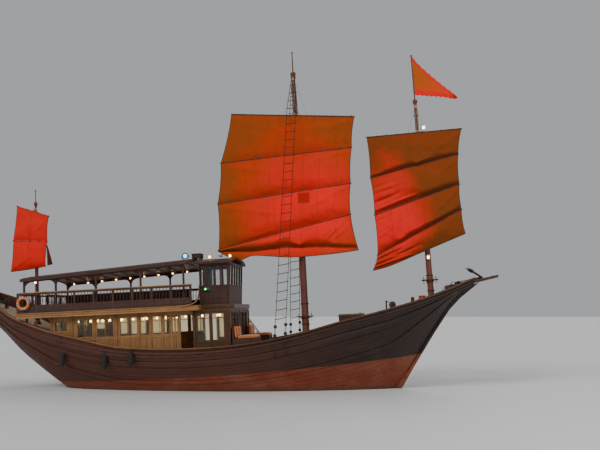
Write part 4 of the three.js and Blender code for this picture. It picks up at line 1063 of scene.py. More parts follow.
def cabin_inside():
    """Ceiling beams, floor boards, and lamps that hang in three rows."""
    beams, sole, base, bulb = Shape(), Shape(), Shape(), Shape()
    for x in spaced(-8.6, -0.2, 13):
        beams.block(x - 0.04, x + 0.04, -2.79, 2.79, 3.955, 4.079)
    for j in range(-17, 17):
        sole.block(-8.9, 0.08, j * 0.16 + 0.004, j * 0.16 + 0.156, 1.69, 1.7068)
    stem = mm("50 0, 55 -30, 12 -35, 12 -90, 50 -100, 50 -120")
    globe = mm("0 -235, 35 -222, 58 -185, 58 -150, 40 -121, 0 -120")
    for x in (-7.95, -6.9, -5.6, -4.3, -3.2, -1.4, -0.5):
        for y in (-1.9, 0.0, 1.9):
            base.lathe(stem, (x, y, 3.955), sides=12)
            bulb.lathe(globe, (x, y, 3.955), sides=14)
    piece("cabin_beams", beams, "golden_cross", bevel=0.008)
    piece("cabin_sole", sole, "deck_boards", bevel=0.003)
    piece("cabin_lamp_bases", base, "brass")
    piece("cabin_lamps", bulb, "warm")


DECK2 = dict(aft=-10.6, fore=0.35, step=-1.2, half=3.3, nose=2.35)
BALUSTER = mm("20 0, 20 50, 12 65, 16 110, 24 170, 26 220, 18 300, 12 360, 15 420, 12 455, 20 470, 20 522")
HANDRAIL = mm("-55 -16, 55 -16, 62 0, 50 22, 0 32, -50 22, -62 0")


def bracket(root, reach, drop, first, count):
    """A knee's outline: a straight arm, and a curve below it that falls back to the root."""
    turns = spaced(first, math.pi / 2, count)
    return [(root + reach * (1 - math.sin(t)), -drop * (1 - math.cos(t))) for t in turns]


def deck_edge_trim(name, side):
    """Fascia mouldings along the upper deck, sweeping up in a curve at their fore end, and knees below it."""
    trim, knees = Shape(), Shape()
    turns = spaced(0, math.pi / 2, 9)
    round_x, round_y, bend = DECK2["step"] - 0.35, DECK2["half"] - 0.35, 0.35
    corner = [(round_x + bend * math.sin(t), round_y + bend * math.cos(t)) for t in turns]
    edge = [(x, side * y) for x, y in [(DECK2["aft"], DECK2["half"])] + corner]
    for z, r in ((4.292, 0.030), (4.085, 0.034), (4.19, 0.014)):
        trim.tube([(x, y + side * 0.004, z) for x, y in edge], r, 10)
    rise = (
        (-2.35, 4.30), (-1.95, 4.31), (-1.62, 4.36), (-1.40, 4.47),
        (-1.28, 4.64), (-1.22, 4.85), (-1.19, 5.08), (-1.18, 5.30),
    )
    run = [(x, side * 3.308, z) for x, z in rise]
    smooth = [p for a, b in zip(run, run[1:]) for p in line(a, b, 4)[:-1]] + [Vector(run[-1])]
    trim.sweep(smooth, oblong(0.018, -0.095, 0.095), up=(0, side, 0))
    trim.tube([(p.x, side * 3.33, p.z) for p in smooth], 0.022)
    piece(f"deck_fascia_{name}", trim, "deck_edge", smooth=45)
    curve = [(2.915, 4.079), (3.27, 4.079), (3.27, 4.03)]
    curve += [(y, 4.03 + drop) for y, drop in bracket(2.915, 0.355, 0.42, 0.15, 7)]
    for x in (*BAYS, -1.60):
        knees.prism([(side * y, z) for y, z in curve], in_cross, x - 0.03, x + 0.03)
    piece(f"deck_knees_{name}", knees, "house_cross", bevel=0.004)


def upper_deck_planks():
    planks = Shape()
    section = mm("-73.5 -10, 73.5 -10, 73.5 4.5, 70.5 6.8, -70.5 6.8, -73.5 4.5")
    for j in range(-21, 21):
        y0, y1 = j * 0.155 + 0.004, j * 0.155 + 0.151
        far = max(abs(y0), abs(y1))
        fore = DECK2["fore"] - 0.02 if far < DECK2["nose"] - 0.02 else DECK2["step"] - 0.06
        if far < DECK2["half"] - 0.04:
            planks.plank([(-10.58, (y0 + y1) / 2, 4.3), (fore, (y0 + y1) / 2, 4.3)], section, 0.7 * j)
    piece("upper_deck_planks", planks, "deck", smooth=0)


def upper_rail(name, side):
    """Handrail, turned balusters in the openings, and raised panels below them."""
    hand, panels = Shape(), Shape()
    y, top = side * 3.26, 5.345
    path = [(-1.62, y, top)] + [(x, y, top) for x in spaced(-2.0, -10.45, 8)]
    path += [(-10.52, side * 3.24, top), (-10.555, side * 3.18, top)]
    path += [(-10.56, side * b, top) for b in (2.6, 1.6, 0.52)]
    hand.sweep(path, HANDRAIL)
    hand.lathe(mm("0 -20, 62 -18, 68 0, 55 24, 0 34"), path[0], sides=16)
    piece(f"handrail_{name}", hand, "golden", smooth=50)
    turned = Shape().lathe(BALUSTER, (0, 0, 0), sides=8)
    rows = {"rail": ((-10.42, y), (-1.72, y)), "aft": ((-10.56, side * 0.66), (-10.56, side * 3.14))}
    for label, (a, b) in rows.items():
        repeat(f"{label}_balusters_{name}", [[(*a, 4.719), (*b, 4.719)]], turned, 0.165, "dark_up")
    bay = (-1.6 + 10.59 - 0.09) / 9
    for i in range(9):
        x0 = -10.59 + 0.09 + i * bay
        panels.block(x0 + 0.05, x0 + bay - 0.14, side * 3.289, side * 3.304, 4.40, 4.66)
    piece(f"rail_panels_{name}", panels, "dark", bevel=0.006)


CANOPY = dict(aft=-10.5, fore=-1.85, half=3.05, rise=0.24, thick=0.09, slope=0.054)
POSTS = (-10.35, -8.68, -6.58, -4.27, -2.07)
ROOF = dict(aft=-1.72, fore=0.23, half=2.12, rise=0.23, thick=0.09)
CABIN_TOP = 6.43


def canopy_edge(x):
    return 6.23 + (x + 5.89) * CANOPY["slope"]


def arched(name, roof, edge, node):
    """An arched roof skin over a lined underside, closed, replacing its solid."""
    turns = spaced(-1.0, 1.0, 41)
    half, rise, thick = roof["half"], roof["rise"], roof["thick"]
    points = []
    for x in spaced(roof["aft"], roof["fore"], 25):
        points += [(x, u * half, edge(x) + rise * (1 - u * u)) for u in turns]
        points += [(x, -u * half, edge(x) + thick + rise * (1 - u * u)) for u in turns]
    n, total = 2 * len(turns), len(points)
    faces = stitched(25, n, (1, 0, 3, 2)) + [tuple(range(n)), tuple(range(total - 1, total - n - 1, -1))]
    slots = [1 if k % n < len(turns) - 1 else 0 for k in range(len(faces) - 2)] + [0, 0]
    skin = piece(name, Shape().add(points, faces, None, slots), ["roof", "lining"], smooth=30, bevel=0.012)
    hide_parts(node)


def canopy():
    arched("canopy_skin", CANOPY, canopy_edge, "canopy_roof")
    ribs, battens = Shape(), Shape()
    for x in spaced(-10.42, -1.93, 14):
        bow = [(3.0 * u, CANOPY["rise"] * (1 - (3.0 * u / 3.05) ** 2)) for u in spaced(-1, 1, 21)]
        ribs.sweep([(x, y, canopy_edge(x) + rise - 0.022) for y, rise in bow], oblong(0.024, -0.03, 0.03))
    for u in spaced(-0.9, 0.9, 9):
        z = CANOPY["thick"] + CANOPY["rise"] * (1 - u * u) + 0.008
        path = [(x, 3.05 * u, canopy_edge(x) + z) for x in spaced(-10.49, -1.86, 5)]
        battens.sweep(path, mm("-25 -12, 25 -12, 18 12, -18 12"))
    piece("canopy_ribs", ribs, "lining", bevel=0.004)
    piece("canopy_battens", battens, "roof")


def canopy_side(name, side):
    """Fascia, braces and feet of the posts, and warm lamps under the eaves, each in a small brass cup."""
    fascia, braces = Shape(), Shape()
    stations = spaced(-10.51, -1.84, 9)
    fascia.sweep([(x, side * 3.052, canopy_edge(x) + 0.035) for x in stations], oblong(0.014, -0.085, 0.062))
    fascia.tube([(x, side * 3.07, canopy_edge(x) - 0.045) for x in stations], 0.018)
    piece(f"canopy_fascia_{name}", fascia, "dark", smooth=40)
    curve = [(0.045, 0.0), (0.36, 0.0), (0.36, -0.03)]
    curve += [(a, b - 0.03) for a, b in bracket(0.045, 0.315, 0.31, 0.2, 6)]
    for x in POSTS:
        base = canopy_edge(x) - 0.085
        for way in (-1, 1):
            if (x, way) not in ((POSTS[0], -1), (POSTS[-1], 1)):
                outline = [(x + way * a, base + b + way * a * CANOPY["slope"]) for a, b in curve]
                braces.prism(outline, in_side, side * 2.885, side * 2.925)
        braces.block(x - 0.062, x + 0.062, side * 2.842, side * 2.968, 4.3005, 4.42)
    piece(f"canopy_braces_{name}", braces, "dark_up", bevel=0.005)
    cup = mm("0 35, 20 34, 30 0, 46 -30, 42 -32, 0 -10")
    bulb = mm("0 -105, 30 -95, 45 -62, 38 -30, 0 -12")
    path = [[(x, side * 2.76, canopy_edge(x) + 0.005) for x in (-9.9, -2.4)]]
    repeat(f"canopy_lamp_cups_{name}", path, Shape().lathe(cup, (0, 0, 0), sides=10), 0.83, "brass")
    repeat(f"canopy_lamps_{name}", path, Shape().lathe(bulb, (0, 0, 0), sides=12), 0.83, "warm")


def raked(a, z, depth):
    return (depth + 0.12 * (z - 4.3) / (CABIN_TOP - 4.3) - 0.002, a, z)


def wheelhouse():
    glass, casing, verge = Shape(), Shape(), Shape()
    slim = dict(wide=0.028, proud=0.012)
    for _, side in SIDES:
        for x0, x1 in ((-1.43, -1.17), (-1.09, -0.73), (-0.65, -0.33), (-0.25, -0.06)):
            window(casing, glass, on_side(side), (x0, x1, 5.3, 6.3), 1.84, 1.9, **slim)
        rails = [(-1.5, 0.03, 1.925, 5.20, 5.262), (-1.5, 0.02, 1.918, 4.62, 4.66)]
        rails += [(x - 0.028, x + 0.028, 1.915, 4.31, 5.20) for x in (-1.47, -1.0, -0.5, -0.03)]
        for a, b, out, low, high in rails:
            casing.block(a, b, side * 1.899, side * out, low, high)
    for y0 in (-1.74, -1.0, -0.33, 0.41, 1.14):
        window(casing, glass, raked, (y0, y0 + 0.6, 5.3, 6.3), -0.06, 0.0, **slim)
    for y0 in (-1.64, 1.04):
        window(casing, glass, facing_ahead, (y0, y0 + 0.6, 5.3, 6.3), -1.44, -1.5, **slim)
    for a, b, low, high in ((-0.47, -0.43, 4.32, 6.34), (0.43, 0.47, 4.32, 6.34), (-0.47, 0.47, 6.30, 6.35)):
        casing.block(-1.525, -1.5, a, b, low, high)
    piece("wheelhouse_joinery", casing, "dark_up", bevel=0.004)
    piece("wheelhouse_glass", glass, "glass", smooth=0)
    arched("wheelhouse_roof_skin", ROOF, lambda x: CABIN_TOP, "wheelhouse_roof")
    verge.block(-1.48, 0.06, -1.89, 1.89, 6.43, 6.49)
    for side in (-1, 1):
        verge.sweep([(x, side * 2.128, 6.465) for x in (-1.735, 0.245)], oblong(0.014, -0.062, 0.05))
    for x in (-1.73, 0.24):
        bow = [(x, 2.12 * u, 6.475 + ROOF["rise"] * (1 - u * u)) for u in spaced(-1, 1, 25)]
        verge.sweep(bow, oblong(0.014, -0.058, 0.058))
    piece("wheelhouse_roof_verge", verge, "dark", smooth=40)


house_ends()
cabin_inside()
upper_deck_planks()
canopy()
wheelhouse()
for side_name, side_sign in SIDES:
    house_side(side_name, side_sign)
    deck_edge_trim(side_name, side_sign)
    upper_rail(side_name, side_sign)
    canopy_side(side_name, side_sign)


# Masts: foot, head, radii at foot, middle and hounds, height of the hounds, pole
MASTS = {
    "main": dict(
        foot=(3.668, 2.4594), head=(3.64, 17.79), radii=(0.190, 0.165, 0.105), hounds=16.5, pole=0.034,
    ),
    "fore": dict(
        foot=(10.272, 4.0339), head=(10.03, 17.1), radii=(0.160, 0.130, 0.080), hounds=14.5, pole=0.036,
    ),
    "mizzen": dict(
        foot=(-10.93, 3.7525), head=(-10.93, 11.13), radii=(0.110, 0.090, 0.055), hounds=10.3, pole=0.024,
    ),
}


def mast_x(m, z):
    return m["foot"][0] + (m["head"][0] - m["foot"][0]) * (z - m["foot"][1]) / (m["head"][1] - m["foot"][1])


def mast_radius(m, z):
    low, mid, top = m["radii"]
    foot, hounds = m["foot"][1], m["hounds"]
    middle = (foot + hounds) / 2
    if z < middle:
        return low + (mid - low) * (z - foot) / (middle - foot)
    return mid + (top - mid) * (z - middle) / (hounds - middle)


MAST_FOOT = mm("90 0, 90 85, 78 110, 35 125, 20 150, 0 155")
MAST_HOUNDS = mm("0 -100, 12 -60, 42 -15, 45 0, 45 110, 34 125")
MAST_TRUCK = ((0.8, 0.095), (0.85, 0.085), (1.5, 0.066), (1.62, 0.045), (1.35, 0.016), (0.7, 0.002))
MAST_BAND = mm("0.5 -35, 7 -34, 8 -28, 8 28, 7 34, 0.5 35")


def build_mast(name, m):
    """A turned spar from its foot to the truck, iron bands round it, and wedges at the deck."""
    low, _, top = m["radii"]
    (x0, z0), (x1, z1), pole = m["foot"], m["head"], m["pole"]
    hounds, height = m["hounds"] - z0, z1 - z0
    axis = (x1 - x0, 0, height)
    profile = [(0, 0)] + [(low + r, h) for r, h in MAST_FOOT]
    profile += [(mast_radius(m, z0 + h), h) for h in spaced(0.5, hounds - 0.18, 26)]
    profile += [(top + r, hounds + h) for r, h in MAST_HOUNDS]
    profile += [(pole * 1.25, hounds + 0.155), (pole, hounds + 0.20)]
    profile += [(pole * r, height - h) for r, h in MAST_TRUCK] + [(0, height)]
    mast = piece(f"{name}_mast_spar", Shape().lathe(profile, (x0, 0, z0), axis, 36), "red_up", smooth=40)
    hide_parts(f"{name}_mast")
    bands, wedges = Shape(), Shape()
    for share in (0.045, 0.12, 0.55, 0.93):
        z = z0 + hounds * share
        x, r = mast_x(m, z), mast_radius(m, z)
        bands.lathe([(r + out, h) for out, h in MAST_BAND], (x, 0, z), axis, 32)
        for way in (-1, 1):
            bands.block(x + way * (r + 0.004), x + way * (r + 0.035), -0.02, 0.02, z - 0.03, z + 0.03)
    piece(f"{name}_mast_bands", bands, "iron")
    corners = [(s * 0.018, q * 0.03, h) for h in (0, 0.085) for q in (-1, 1) for s in (-1, 1)]
    for t in around(12 if low > 0.12 else 8, 0.5):
        a, b = Vector((math.cos(t), math.sin(t), 0)), Vector((-math.sin(t), math.cos(t), 0))
        c = Vector((x0, 0, z0 + 0.14)) + a * (low + 0.012)
        wedges.add([c + a * s + b * q + Vector((0, 0, h)) for s, q, h in corners], BOX)
    piece(f"{name}_mast_wedges", wedges, "golden_up", bevel=0.003)


for mast_name, mast_sizes in MASTS.items():
    build_mast(mast_name, mast_sizes)

# Sails: rows from leech to luff, head first, then the foot's curve; the spars with their radii; how far each
# panel bellies; its crest, the line along which the belly breaks and falls back to the batten below; creases
# as (from, to, width, depth)
SAILS = {
    "main": dict(
        rows=(((0.25, 14.5), (6.82, 13.88)), ((-0.44, 11.87), (6.59, 12.25)), ((-0.69, 9.67), (6.43, 10.34)),
              ((-0.73, 7.2), (6.34, 8.7))),
        foot=((-0.80, 7.16), (-0.2, 6.80), (0.44, 6.62), (1.07, 6.80), (2.0, 6.72), (3.3, 6.60), (5.2, 6.66),
              (6.66, 6.79)),
        spars=(((0.23, 14.47), (6.8, 13.9), 0.062), ((-0.4, 11.87), (6.57, 12.25), 0.042),
               ((-0.65, 9.68), (6.41, 10.34), 0.042), ((-0.69, 7.23), (6.32, 8.69), 0.042),
               ((0.96, 6.9), (6.6, 6.84), 0.060)),
        face=-0.3355, hollow=(0.07, 0.05), belly=(0.11, 0.16, 0.20, 0.27),
        crests=(((-0.4, 12.55), (3.3, 12.85), (6.7, 13.0)), ((-0.7, 10.35), (2.9, 10.75), (6.5, 11.0)),
                ((-0.75, 7.95), (2.8, 8.78), (4.0, 9.02), (6.4, 9.35)),
                ((-0.75, 7.19), (1.09, 7.44), (2.1, 7.50), (2.85, 7.62), (3.6, 7.30), (4.37, 7.72),
                (4.9, 7.55), (5.41, 7.28), (6.6, 7.12))),
        valley=((-0.8, 7.12), (1.07, 7.02), (2.83, 7.12), (4.27, 7.06), (6.7, 6.93)),
        creases=(((5.05, 7.50), (5.95, 8.30), 0.05, 0.05), ((4.85, 7.66), (5.5, 8.10), 0.05, 0.045),
                 ((5.4, 7.42), (6.1, 7.98), 0.05, 0.045),
                 ((2.80, 7.80), (3.70, 8.14), 0.09, 0.05), ((3.62, 7.32), (3.35, 8.05), 0.10, -0.06),
                 ((-0.6, 7.3), (2.4, 8.1), 0.08, 0.05),
                 ((-0.6, 9.5), (2.6, 8.9), 0.12, 0.03), ((6.3, 10.2), (4.2, 9.2), 0.12, 0.035), ((-0.4, 11.7),
                 (2.2, 11.2), 0.12, 0.03),
                 ((6.5, 12.1), (4.4, 11.6), 0.12, 0.03), ((0.3, 14.3), (2.0, 13.5), 0.14, 0.03),
                 ((6.75, 13.8), (5.2, 13.3), 0.12, 0.03),
                 ((2.3, 14.2), (2.7, 13.0), 0.10, 0.022), ((4.3, 9.35), (4.5, 8.45), 0.07, 0.02)),
        cloth="main_cloth"),
    "fore": dict(
        rows=(((7.42, 12.73), (12.37, 12.85)), ((7.49, 10.54), (12.11, 11.51)), ((7.6, 8.57), (12.06, 9.93)),
              ((7.64, 6.46), (12.08, 8.62))),
        foot=((7.34, 5.68), (8.3, 5.90), (10.2, 6.60), (12.2, 7.33)),
        spars=(((7.42, 12.7), (12.36, 12.83), 0.055), ((7.52, 10.55), (12.1, 11.5), 0.038),
               ((7.62, 8.58), (12.04, 9.92), 0.038), ((7.66, 6.49), (12.06, 8.6), 0.038),
               ((7.42, 5.81), (12.19, 7.39), 0.050)),
        face=-0.3285, hollow=(0.05, 0.05), belly=(0.19, 0.22, 0.24, 0.13),
        crests=(((7.4, 10.72), (7.66, 10.68), (8.91, 11.14), (9.57, 11.38), (9.96, 11.14), (10.3, 11.34),
                (10.96, 11.60), (11.69, 11.66), (12.3, 11.66)),
                ((7.5, 9.5), (7.68, 9.62), (8.9, 9.92), (9.82, 10.10), (10.12, 9.78), (10.9, 9.92),
                (12.1, 10.28)),
                ((7.6, 6.95), (7.86, 7.18), (8.45, 7.55), (8.83, 7.26), (9.5, 7.70), (10.49, 8.10),
                (11.47, 8.56), (12.1, 8.95)),
                ((7.4, 6.12), (8.2, 6.42), (8.88, 6.72), (9.96, 7.22), (11.44, 7.90), (12.2, 8.2))),
        creases=(((7.6, 9.80), (9.45, 10.28), 0.045, 0.055), ((7.55, 10.10), (8.95, 10.48), 0.045, 0.05),
                 ((7.6, 8.78), (9.85, 9.52), 0.06, 0.09),
                 ((7.65, 9.2), (8.9, 9.62), 0.07, -0.06), ((7.7, 8.36), (8.8, 8.74), 0.035, 0.035),
                 ((7.72, 8.05), (8.8, 8.42), 0.035, 0.035),
                 ((7.7, 8.20), (8.5, 8.55), 0.03, -0.03), ((7.8, 7.75), (9.2, 8.40), 0.06, 0.04),
                 ((7.72, 7.35), (8.6, 8.0), 0.05, 0.03),
                 ((7.55, 6.28), (8.9, 6.84), 0.04, 0.075), ((7.45, 6.02), (8.8, 6.45), 0.035, 0.07),
                 ((7.4, 5.82), (9.4, 6.42), 0.035, 0.06),
                 ((8.0, 6.15), (9.9, 6.9), 0.06, -0.05), ((10.1, 11.3), (10.2, 10.1), 0.10, 0.03),
                 ((12.0, 9.7), (10.6, 8.4), 0.10, 0.035),
                 ((12.3, 12.6), (10.9, 11.8), 0.11, 0.03), ((7.5, 12.5), (9.0, 11.6), 0.12, 0.035),
                 ((12.1, 11.3), (10.8, 10.3), 0.10, 0.03)),
        cloth="fore_cloth"),
    "mizzen": dict(
        rows=(((-11.84, 10.25), (-10.08, 9.57)), ((-12.08, 8.38), (-10.18, 8.2))),
        foot=((-12.23, 6.66), (-11.3, 6.73), (-10.3, 6.85)),
        spars=(((-11.83, 10.22), (-10.09, 9.56), 0.034), ((-12.06, 8.38), (-10.2, 8.2), 0.024),
               ((-12.21, 6.7), (-10.3, 6.89), 0.032)),
        face=-0.3075, hollow=(0.03, 0.03), belly=(0.10, 0.10),
        crests=(((-12.1, 8.9), (-11.1, 8.95), (-10.1, 8.65)), ((-12.3, 7.1), (-11.2, 7.2), (-10.2, 7.15))),
        creases=(((-11.8, 10.1), (-11.0, 9.2), 0.06, 0.03), ((-10.15, 9.45), (-10.8, 8.8), 0.05, 0.025),
                 ((-12.0, 8.2), (-11.2, 7.6), 0.06, 0.03), ((-12.1, 6.8), (-11.2, 7.4), 0.06, 0.03)),
        cloth="mizzen_cloth"),
}
PANEL_ROWS = dict(main=(110, 26), fore=(96, 28), mizzen=(44, 20))


def rounded(t, before, a, b, after):
    lean, bend, twist = b - before, 2 * before - 5 * a + 4 * b - after, 3 * a - before - 3 * b + after
    return 0.5 * (2 * a + lean * t + bend * t * t + twist * t ** 3)


def on_curve(points, u):
    """A point a share of the way along a polyline, rounded off at its corners."""
    reach = [0.0]
    for a, b in zip(points, points[1:]):
        reach.append(reach[-1] + math.dist(a, b))
    want, last = u * reach[-1], len(points) - 1
    for i in range(last):
        if want <= reach[i + 1] + 1e-9:
            t = (want - reach[i]) / (reach[i + 1] - reach[i])
            near = (points[max(i - 1, 0)], points[i], points[i + 1], points[min(i + 2, last)])
            return tuple(rounded(t, *(p[k] for p in near)) for k in (0, 1))
    return points[last]


def height_at(points, x):
    """Height of a polyline at x, eased round its corners."""
    if x <= points[0][0]:
        return points[0][1]
    for a, b in zip(points, points[1:]):
        if x <= b[0]:
            t = (x - a[0]) / (b[0] - a[0])
            t = t * 0.55 + (3 * t * t - 2 * t ** 3) * 0.45
            return a[1] + (b[1] - a[1]) * t
    return points[-1][1]


def crease_depth(crease, x, z):
    """A narrow ridge or hollow that dies away towards both ends."""
    (ax, az), (bx, bz), width, depth = crease
    dx, dz = bx - ax, bz - az
    k = ((x - ax) * dx + (z - az) * dz) / (dx * dx + dz * dz)
    inside = min(1.0, max(0.0, k))
    off = math.hypot(x - ax - dx * inside, z - az - dz * inside)
    ends = min(1.0, 0.45 + 2.0 * (1 - inside)) * min(1.0, 0.6 + 2.0 * inside)
    return depth * ends / (1.0 + (off / width) ** 2) ** 1.5


def belly_at(z, top, crest, low):
    """Share of a panel's belly: it swells down to the crest, then falls back sharply to the batten below."""
    crest = min(max(crest, low + 0.05), top - 0.05)
    if z >= crest:
        return math.sin(math.pi / 2 * min(1.0, (top - z) / (top - crest))) ** 0.85
    return math.sin(math.pi / 2 * max(0.0, (z - low) / (crest - low))) ** 0.8


def ripple(x, z, p):
    """Waves of three sizes over the cloth."""
    waves = ((x * 0.9, z * 1.7, p * 3.0), (x * 2.6 + z, z * 3.1, 5.0 + p), (x * 7.0 - z * 3.0, z * 6.0, 9.0))
    return sum(noise.noise(Vector(w)) * depth for w, depth in zip(waves, (0.024, 0.011, 0.004)))


def sail_grid(name, sail):
    """Rows of points over the cloth, with each point's place on the flat cloth for seams and weave."""
    rows, (hollow_aft, hollow_fore) = sail["rows"], sail["hollow"]
    across_count, down_count = PANEL_ROWS[name]
    last = len(rows) - 1
    grid, cloth_map, run = [], [], 0.0

    def on_row(p, u):
        return on_curve(sail["foot"], u) if p > last else tuple(m + (n - m) * u for m, n in zip(*rows[p]))

    for p, top in enumerate(rows):
        wide, tall = math.dist(*top), math.dist(on_row(p, 0.5), on_row(p + 1, 0.5))
        for v in spaced(0, 1, down_count + 1)[0 if p == 0 else 1:]:
            bow = 4 * v * (1 - v)
            ease = min(1.0, v * 7.0) * (min(1.0, (1 - v) * 7.0) if p < last else 1.0)
            points = []
            for u in spaced(0, 1, across_count + 1):
                a, b, full = on_row(p, u), on_row(p + 1, u), math.sin(math.pi * u)
                x, z = a[0] + (b[0] - a[0]) * v, a[1] + (b[1] - a[1]) * v
                x += hollow_aft * bow * (1 - u) ** 5 - hollow_fore * bow * u ** 5
                low = height_at(sail["valley"], x) if p == last and "valley" in sail else b[1]
                swelling = belly_at(z, a[1], height_at(sail["crests"][p], x), low)
                out = sail["belly"][p] * (0.30 + 0.70 * full ** 0.6) * swelling
                if z < low:
                    out = 0.15 * full ** 0.7 * math.sin(math.pi / 2 * min(1.0, (low - z) / 0.30)) ** 0.8
                fold = sum(crease_depth(c, x, z) for c in sail["creases"])
                points.append((x, sail["face"] - max(0.0, out + (fold + ripple(x, z, p)) * ease), z))
            grid.append(points)
            cloth_map.append([(u * wide, run + v * tall) for u in spaced(0, 1, across_count + 1)])
        run += tall
    return grid, cloth_map


def overhang(grid):
    """How much each point of the cloth faces down (above 0) or up (below 0), for the cloth's painted shade
    and painted highlight.
    """
    shares = []
    for j in range(len(grid)):
        above, below = grid[max(j - 1, 0)], grid[min(j + 1, len(grid) - 1)]
        for p, q in zip(above, below):
            shares.append((q[1] - p[1]) / max(0.02, math.hypot(q[2] - p[2], q[0] - p[0])))
    return shares


def sheet_area(grid):
    total = 0.0
    for lower, upper in zip(grid, grid[1:]):
        for corners in zip(lower, lower[1:], upper[1:], upper):
            a, b, c, d = (Vector(p) for p in corners)
            total += ((b - a).cross(c - a).length + (c - a).cross(d - a).length) / 2
    return total


def cloth_piece(name, grid, cloth_map, finish, body, thick=0.005, slots=None):
    columns = len(grid[0])
    starts = [j * columns + i for j in range(len(grid) - 1) for i in range(columns - 1)]
    faces = [(a + columns, a + columns + 1, a + 1, a) for a in starts]
    maps = [m for row in cloth_map for m in row]
    shape = Shape().add([p for row in grid for p in row], faces, [[maps[k] for k in f] for f in faces], slots)
    obj = piece(name, shape, finish, body, smooth=60)
    wall = obj.modifiers.new("thickness", "SOLIDIFY")
    wall.thickness, wall.offset = thick, 0.0
    return obj


BEHIND = -0.265
BATTEN = mm("-10 -26, 4 -26, 10 -14, 10 14, 4 26, -10 26")


def build_canvas(name, sail):
    """The cloth with the rope sewn round its edge."""
    body = f"{name}_sail"
    grid, cloth_map = sail_grid(name, sail)
    cloth = cloth_piece(f"{name}_sail_canvas", grid, cloth_map, sail["cloth"], body)
    # The overhang attribute sets where the cloth's colour gets painted shade and painted highlight.
    facing = cloth.data.attributes.new("overhang", "FLOAT", "POINT")
    facing.data.foreach_set("value", overhang(grid))
    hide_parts(f"{name}_sail_cloth")
    edge = [row[0] for row in grid] + grid[-1][1:] + [row[-1] for row in grid[-2::-1]] + grid[0][-2:0:-1]
    rope = Shape().tube(edge[::2], 0.016 if name != "mizzen" else 0.011, 6, closed=True)
    rim = piece(f"{name}_sail_edge_rope", rope, "rope", body)
    wide, tall = max(math.dist(*row) for row in sail["rows"]), cloth_map[-1][0][1]
    area = min(sheet_area(grid), wide * tall)


def mast_jaw(x, radius):
    """Outline of a block between a spar and the mast, hollowed to the mast's own curve."""
    flank, middle = -radius * 0.75, -radius * 0.86 - 0.004
    outline = [(-0.085, -0.29), (0.085, -0.29), (0.085, flank), (0.055, middle), (0, -radius - 0.004)]
    outline += [(-0.055, middle), (-0.085, flank)]
    return [(x + a, min(b, -math.sqrt(max(0.0, (radius + 0.004) ** 2 - a ** 2)))) for a, b in outline]


